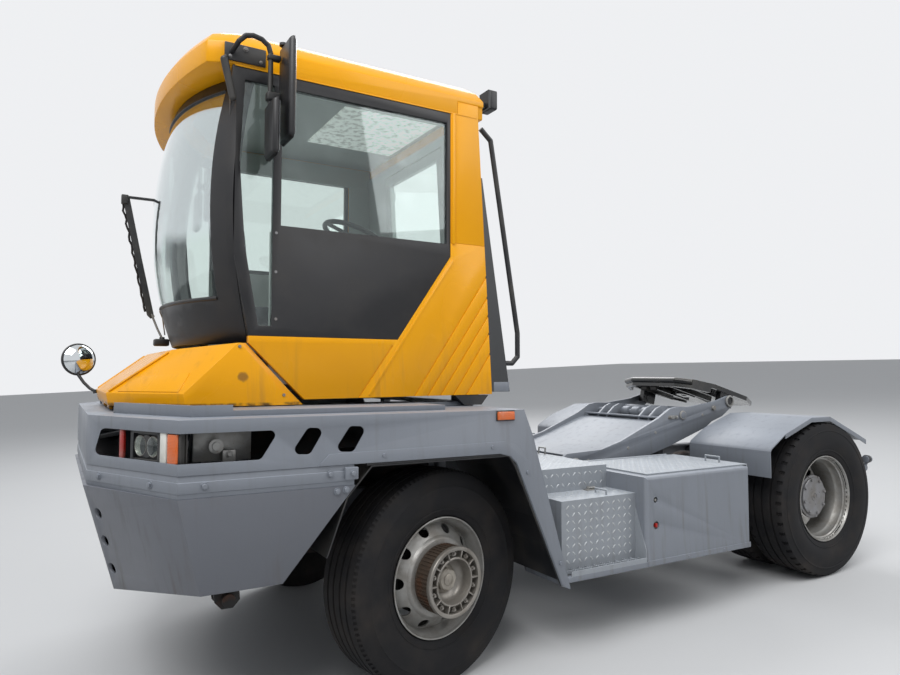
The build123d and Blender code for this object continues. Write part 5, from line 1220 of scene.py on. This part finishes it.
def seat_pad(name, half, lean, at, puff):
    """One cushion of the seat: a rounded block, blown up as cloth and held to a small rise."""
    work = bmesh.new()
    brick(work, -Vector(half), half, 0.03, 4)
    bmesh.ops.subdivide_edges(work, edges=work.edges, cuts=2, use_grid_fill=True)
    place = STAND @ Matrix.Translation(at) @ Matrix.Rotation(lean, 4, "Y")
    bmesh.ops.transform(work, matrix=place, verts=work.verts)
    pad = finish_form(work, name, "driver_station", "cloth", None, 180)
    inflate(pad, puff)


def inflate(pad, puff):
    """Blow a pad up as cloth for a few frames, and hold every point within its rise."""
    scene = bpy.context.scene
    remesh = pad.modifiers.new("even mesh", "REMESH")
    remesh.mode = "VOXEL"
    remesh.voxel_size = PAD_VOXEL
    apply_modifiers(pad)
    before = [v.co.copy() for v in pad.data.vertices]
    cloth_force = pad.modifiers.new("stuffing", "CLOTH")
    cloth_force.settings.use_pressure = True
    cloth_force.settings.uniform_pressure_force = PAD_PRESSURE
    cloth_force.settings.effector_weights.gravity = 0.0
    for step in range(1, PAD_FRAMES + 1):
        scene.frame_set(step)
    apply_modifiers(pad)
    scene.frame_set(1)
    for vert, start in zip(pad.data.vertices, before):
        move = vert.co - start
        if move.length > puff:
            vert.co = start + move.normalized() * puff
    work = bmesh.new()
    work.from_mesh(pad.data)
    for _ in range(3):
        bmesh.ops.smooth_vert(work, verts=work.verts, factor=0.5, use_axis_x=True, use_axis_y=True,
                              use_axis_z=True)
    for face in work.faces:
        face.smooth = True
    work.to_mesh(pad.data)
    work.free()


def apply_modifiers(pad):
    """Bake what the modifiers made into the piece's own mesh."""
    depsgraph = bpy.context.evaluated_depsgraph_get()
    made = bpy.data.meshes.new_from_object(pad.evaluated_get(depsgraph), depsgraph=depsgraph)
    pad.modifiers.clear()
    old = pad.data
    pad.data = made
    if not made.materials:
        made.materials.append(finishes["cloth"])
    bpy.data.meshes.remove(old)


def seat_pads():
    """The seat's three cushions."""
    for name, half, lean, at, puff in (
        ("seat_cushion", (0.215, 0.225, 0.045), 0, (0.548, 0, 1.885), 0.014),
        ("seat_backrest", (0.034, 0.215, 0.285), 6.5, (0.815, 0, 2.235), 0.012),
        ("seat_headrest", (0.026, 0.13, 0.062), 8, (0.862, 0, 2.63), 0.008),
    ):
        seat_pad(name, half, math.radians(lean), at, puff)


def mirror_bracket(work):
    """Mirror bracket on the roof's edge with its bent tube, clamp and lower stay."""
    brick(work, (0.845, 0.8003, 3.062), (1.042, 0.812, 3.148), 0.004)
    tube(work, [
        (1.01, 0.812, 3.1), (0.992, 0.885, 3.128), (0.965, 0.905, 3.152), (0.93, 0.905, 3.16),
        (0.89, 0.905, 3.152), (0.858, 0.905, 3.128), (0.847, 0.905, 3.09), (0.847, 0.905, 2.62),
    ], 0.012, 16)
    barrel(work, (1.046, 0.826, 3.05), (1.004, 0.826, 2.872), 0.0185, 20, 0.0165)
    ball(work, (1.046, 0.826, 3.05), 0.0185, 8)
    ball(work, (1.004, 0.826, 2.872), 0.0165, 8)
    barrel(work, (1.034, 0.806, 3.075), (1.044, 0.83, 3.046), 0.012, 16)
    brick(work, (0.8, 0.884, 2.86), (0.866, 0.926, 2.9), 0.006, 3)
    brick(work, (0.8, 0.888, 3.06), (0.862, 0.922, 3.086), 0.006, 3)


@detail("cab", "moulding", twin=True)
def mirror_heads(work):
    """The two mirror heads of a side, with their crowned, rounded backs."""
    for low, high, crown in (((0.764, 0.862, 2.658), (0.808, 1.052, 3.146), 0.022),
                             ((0.834, 0.872, 2.572), (0.876, 1.04, 2.842), 0.02)):
        made = brick(work, low, high, crown, 5)
        middle_z, half = (low[2] + high[2]) / 2, (high[2] - low[2]) / 2
        for vert in made:
            if vert.co.x > low[0] + 0.02:
                vert.co.x -= 0.016 * ((vert.co.z - middle_z) / half) ** 4
    turned(work, [
        (0.0, -0.006), (0.02, -0.006), (0.02, 0.006), (0.0, 0.006),
    ], 24, Matrix.Translation((0.786, 0.905, 3.15)) @ Matrix.Rotation(math.pi / 2, 4, "X"))


HOOD_MIRROR = Matrix.Translation((1.6, -0.572, 1.636)) @ Vector((-0.308, 0.949, 0.07)).to_track_quat(
    "Y", "Z").to_matrix().to_4x4()


@detail("cab", "black", replaces="mirrors")
def mirror_arms(work):
    """The brackets of both sides, and the round mirror's bent arm and dished back at the hood's corner."""
    mirror_bracket(work)
    both_sides(work)
    tube(work, [
        (1.486, -0.44, 1.449), (1.52, -0.458, 1.47), (1.552, -0.474, 1.505), (1.578, -0.49, 1.545),
        (1.592, -0.5, 1.59), (1.59, -0.498, 1.622),
    ], 0.009, 14)
    turned(work, [
        (0.0, 0.056), (0.07, 0.056), (0.092, 0.0575), (0.0965, 0.062), (0.0955, 0.068), (0.088, 0.0725),
        (0.0, 0.106),
    ], 56, HOOD_MIRROR)
    barrel(work, (1.486, -0.44, 1.442), (1.49, -0.442, 1.462), 0.016, 20)


@detail("cab", "mirror")
def hood_mirror_glass(work):
    """Crowned glass of the round mirror."""
    arc = [math.radians(52 * step / 9) for step in range(10)]
    crown = [(0.113 * math.sin(a), 0.113 * math.cos(a)) for a in arc]
    turned(work, [(0.0, 0.104)] + crown + [(0.086, 0.066)], 56, HOOD_MIRROR)


@detail("cab", "black", replaces="wiper")
def wiper_arm(work):
    """Tall flat wiper arm with its guide at the head and the pivot housing on the hood."""
    flat = frame_of((0, -0.294, 0), (1, 0, 0), (0, 0, 1))
    sheet_of(work, [
        (1.196, 1.893), (1.216, 1.884), (1.236, 1.905), (1.3, 2.2), (1.376, 2.56), (1.372, 2.598),
        (1.346, 2.598), (1.272, 2.24),
    ], 0.012, flat)
    sheet_of(work, [
        (1.214, 1.96), (1.222, 1.958), (1.35, 2.56), (1.342, 2.562),
    ], 0.02, Matrix.Translation((0, -0.002, 0)) @ flat)
    brick(work, (1.198, -0.314, 2.5935), (1.376, -0.288, 2.6065), 0.003)
    brick(work, (1.196, -0.312, 2.56), (1.212, -0.29, 2.6065), 0.003)
    brick(work, (1.352, -0.316, 2.556), (1.39, -0.286, 2.612), 0.005, 3)
    brick(work, (1.1115, -0.335, 1.7215), (1.196, -0.265, 1.764), 0.01, 3)
    barrel(work, (1.15, -0.3, 1.758), (1.15, -0.3, 1.776), 0.017, 20, 0.014)


@detail("cab", "rubber")
def wiper_rubber(work):
    """Blade rubber that has gone wavy along the arm's outer side."""
    steps = 26
    points = []
    for step in range(steps + 1):
        share = step / steps
        wave = 0.0045 * math.sin(step * 1.9) * (0.4 + share)
        sway = 0.003 * math.cos(step * 1.3)
        points.append((1.246 + 0.138 * share + wave, -0.306 + sway, 1.925 + 0.64 * share))
    tube(work, points, 0.0062, 8)


@detail("cab", "zinc")
def wiper_fork(work):
    """The wiper's twin rods, its hose and its pin."""
    for y in (-0.312, -0.288):
        tube(work, [(1.15, y, 1.768), (1.176, y, 1.822), (1.212, y, 1.912)], 0.0048, 10)
    tube(work, [(1.135, -0.3, 1.79), (1.165, -0.18, 1.88), (1.195, -0.08, 1.915)], 0.0035, 8)
    pin(work, 1.204, 1.898, -0.318, -0.282, 0.0085, 16)


# The windscreen's barrel: its upright axis, its reach at mid height, and how far that falls off to its ends.
SCREEN_AXIS_X = -0.08
SCREEN_REACH, SCREEN_FALL = 1.328, 0.11
SCREEN_MIDDLE, SCREEN_HALF = 2.4, 0.65
SCREEN_SWEEP = math.radians(60)
LIP_SUNK = 0.003


@detail("cab", "moulding")
def screen_lip(work):
    """Rounded rubber lip round the windscreen opening, swept about the same upright axis as the glass."""
    for z, radius in ((1.93, 0.0105), (2.985, 0.008)):
        reach = SCREEN_REACH - SCREEN_FALL * ((z - SCREEN_MIDDLE) / SCREEN_HALF) ** 2 - LIP_SUNK
        ring = [work.verts.new((reach + radius * math.cos(a), 0.0, z + radius * math.sin(a)))
                for a in (math.tau * k / 10 for k in range(10))]
        edges = [work.edges.new(two) for two in zip(ring, ring[1:] + ring[:1])]
        start = Matrix.Rotation(-SCREEN_SWEEP / 2, 3, "Z")
        bmesh.ops.rotate(work, verts=ring, cent=(0, 0, 0), matrix=start)
        spun = bmesh.ops.spin(work, geom=ring + edges, cent=(0, 0, 0), axis=(0, 0, 1), angle=SCREEN_SWEEP,
                              steps=36)
        for loop in (edges, [e for e in spun["geom_last"] if isinstance(e, bmesh.types.BMEdge)]):
            bmesh.ops.edgeloop_fill(work, edges=loop)
    bmesh.ops.recalc_face_normals(work, faces=work.faces)
    bmesh.ops.translate(work, vec=(SCREEN_AXIS_X, 0, 0), verts=work.verts)


node_look = {}
for look, names in node_finish.items():
    for name in names:
        node_look[name] = look
        mesh = frame["nodes"][name].data
        mesh.materials.clear()
        mesh.materials.append(finishes[look])

ROUNDED = {
    0.002: ("rear_mudguards",),
    0.003: ("bumper_rail", "side_box_left", "side_box_right", "lift_boom"),
    0.004: ("front_wing_left", "front_wing_right", "nose_panel"),
    0.005: ("cab_plinth", "window_frames"),
    0.006: ("cab_sides",),
    0.009: ("lower_bumper",),
    0.01: ("cab_hood",),
    0.012: ("screen_surround",),
    0.014: ("cab_roof",),
}
for width, names in ROUNDED.items():
    for name in names:
        soften(name, width)

wheels()
details()
seat_pads()


def studio():
    """Pale floor and sky, and plain soft lamps."""
    scene = bpy.context.scene
    work = bmesh.new()
    bmesh.ops.create_grid(work, x_segments=2, y_segments=2, size=60.0)
    mesh = bpy.data.meshes.new("floor")
    work.to_mesh(mesh)
    work.free()
    floor = bpy.data.objects.new("floor", mesh)
    scene.collection.objects.link(floor)
    f = Finish("pale floor", Roughness=0.6, Specular_IOR_Level=0.2)
    f.set(Base_Color=f.mix(f.cloud(0.6, 3) * 0.3, srgb(206, 207, 208), srgb(196, 197, 199)))
    mesh.materials.append(f.material)
    world = bpy.data.worlds.new("pale sky")
    scene.world = world
    world.use_nodes = True
    nodes, links = world.node_tree.nodes, world.node_tree.links
    back = nodes["Background"]
    back.inputs["Color"].default_value = (0.8, 0.83, 0.87, 1)
    back.inputs["Strength"].default_value = 0.42
    seen = nodes.new("ShaderNodeBackground")
    seen.inputs["Color"].default_value = (0.86, 0.87, 0.89, 1)
    seen.inputs["Strength"].default_value = 1.0
    rays = nodes.new("ShaderNodeLightPath").outputs
    shown = rays["Is Camera Ray"]
    for ray in ("Is Transmission Ray", "Is Glossy Ray"):
        either = nodes.new("ShaderNodeMath")
        either.operation = "MAXIMUM"
        links.new(shown, either.inputs[0])
        links.new(rays[ray], either.inputs[1])
        shown = either.outputs[0]
    mixed = nodes.new("ShaderNodeMixShader")
    links.new(shown, mixed.inputs[0])
    links.new(back.outputs[0], mixed.inputs[1])
    links.new(seen.outputs[0], mixed.inputs[2])
    links.new(mixed.outputs[0], nodes["World Output"].inputs["Surface"])
    lamps = {"key": ((6, 5, 11), 1150), "fill": ((-6, 8, 8), 480), "rim": ((-4, -8, 9), 700)}
    for name, (place, power) in lamps.items():
        data = bpy.data.lights.new(name, "AREA")
        data.size = 8.0
        data.energy = power
        lamp = bpy.data.objects.new(name, data)
        scene.collection.objects.link(lamp)
        lamp.location = place
        lamp.rotation_mode = "QUATERNION"
        lamp.rotation_quaternion = (Vector((0, 0, 1.4)) - Vector(place)).to_track_quat("-Z", "Y")


studio()
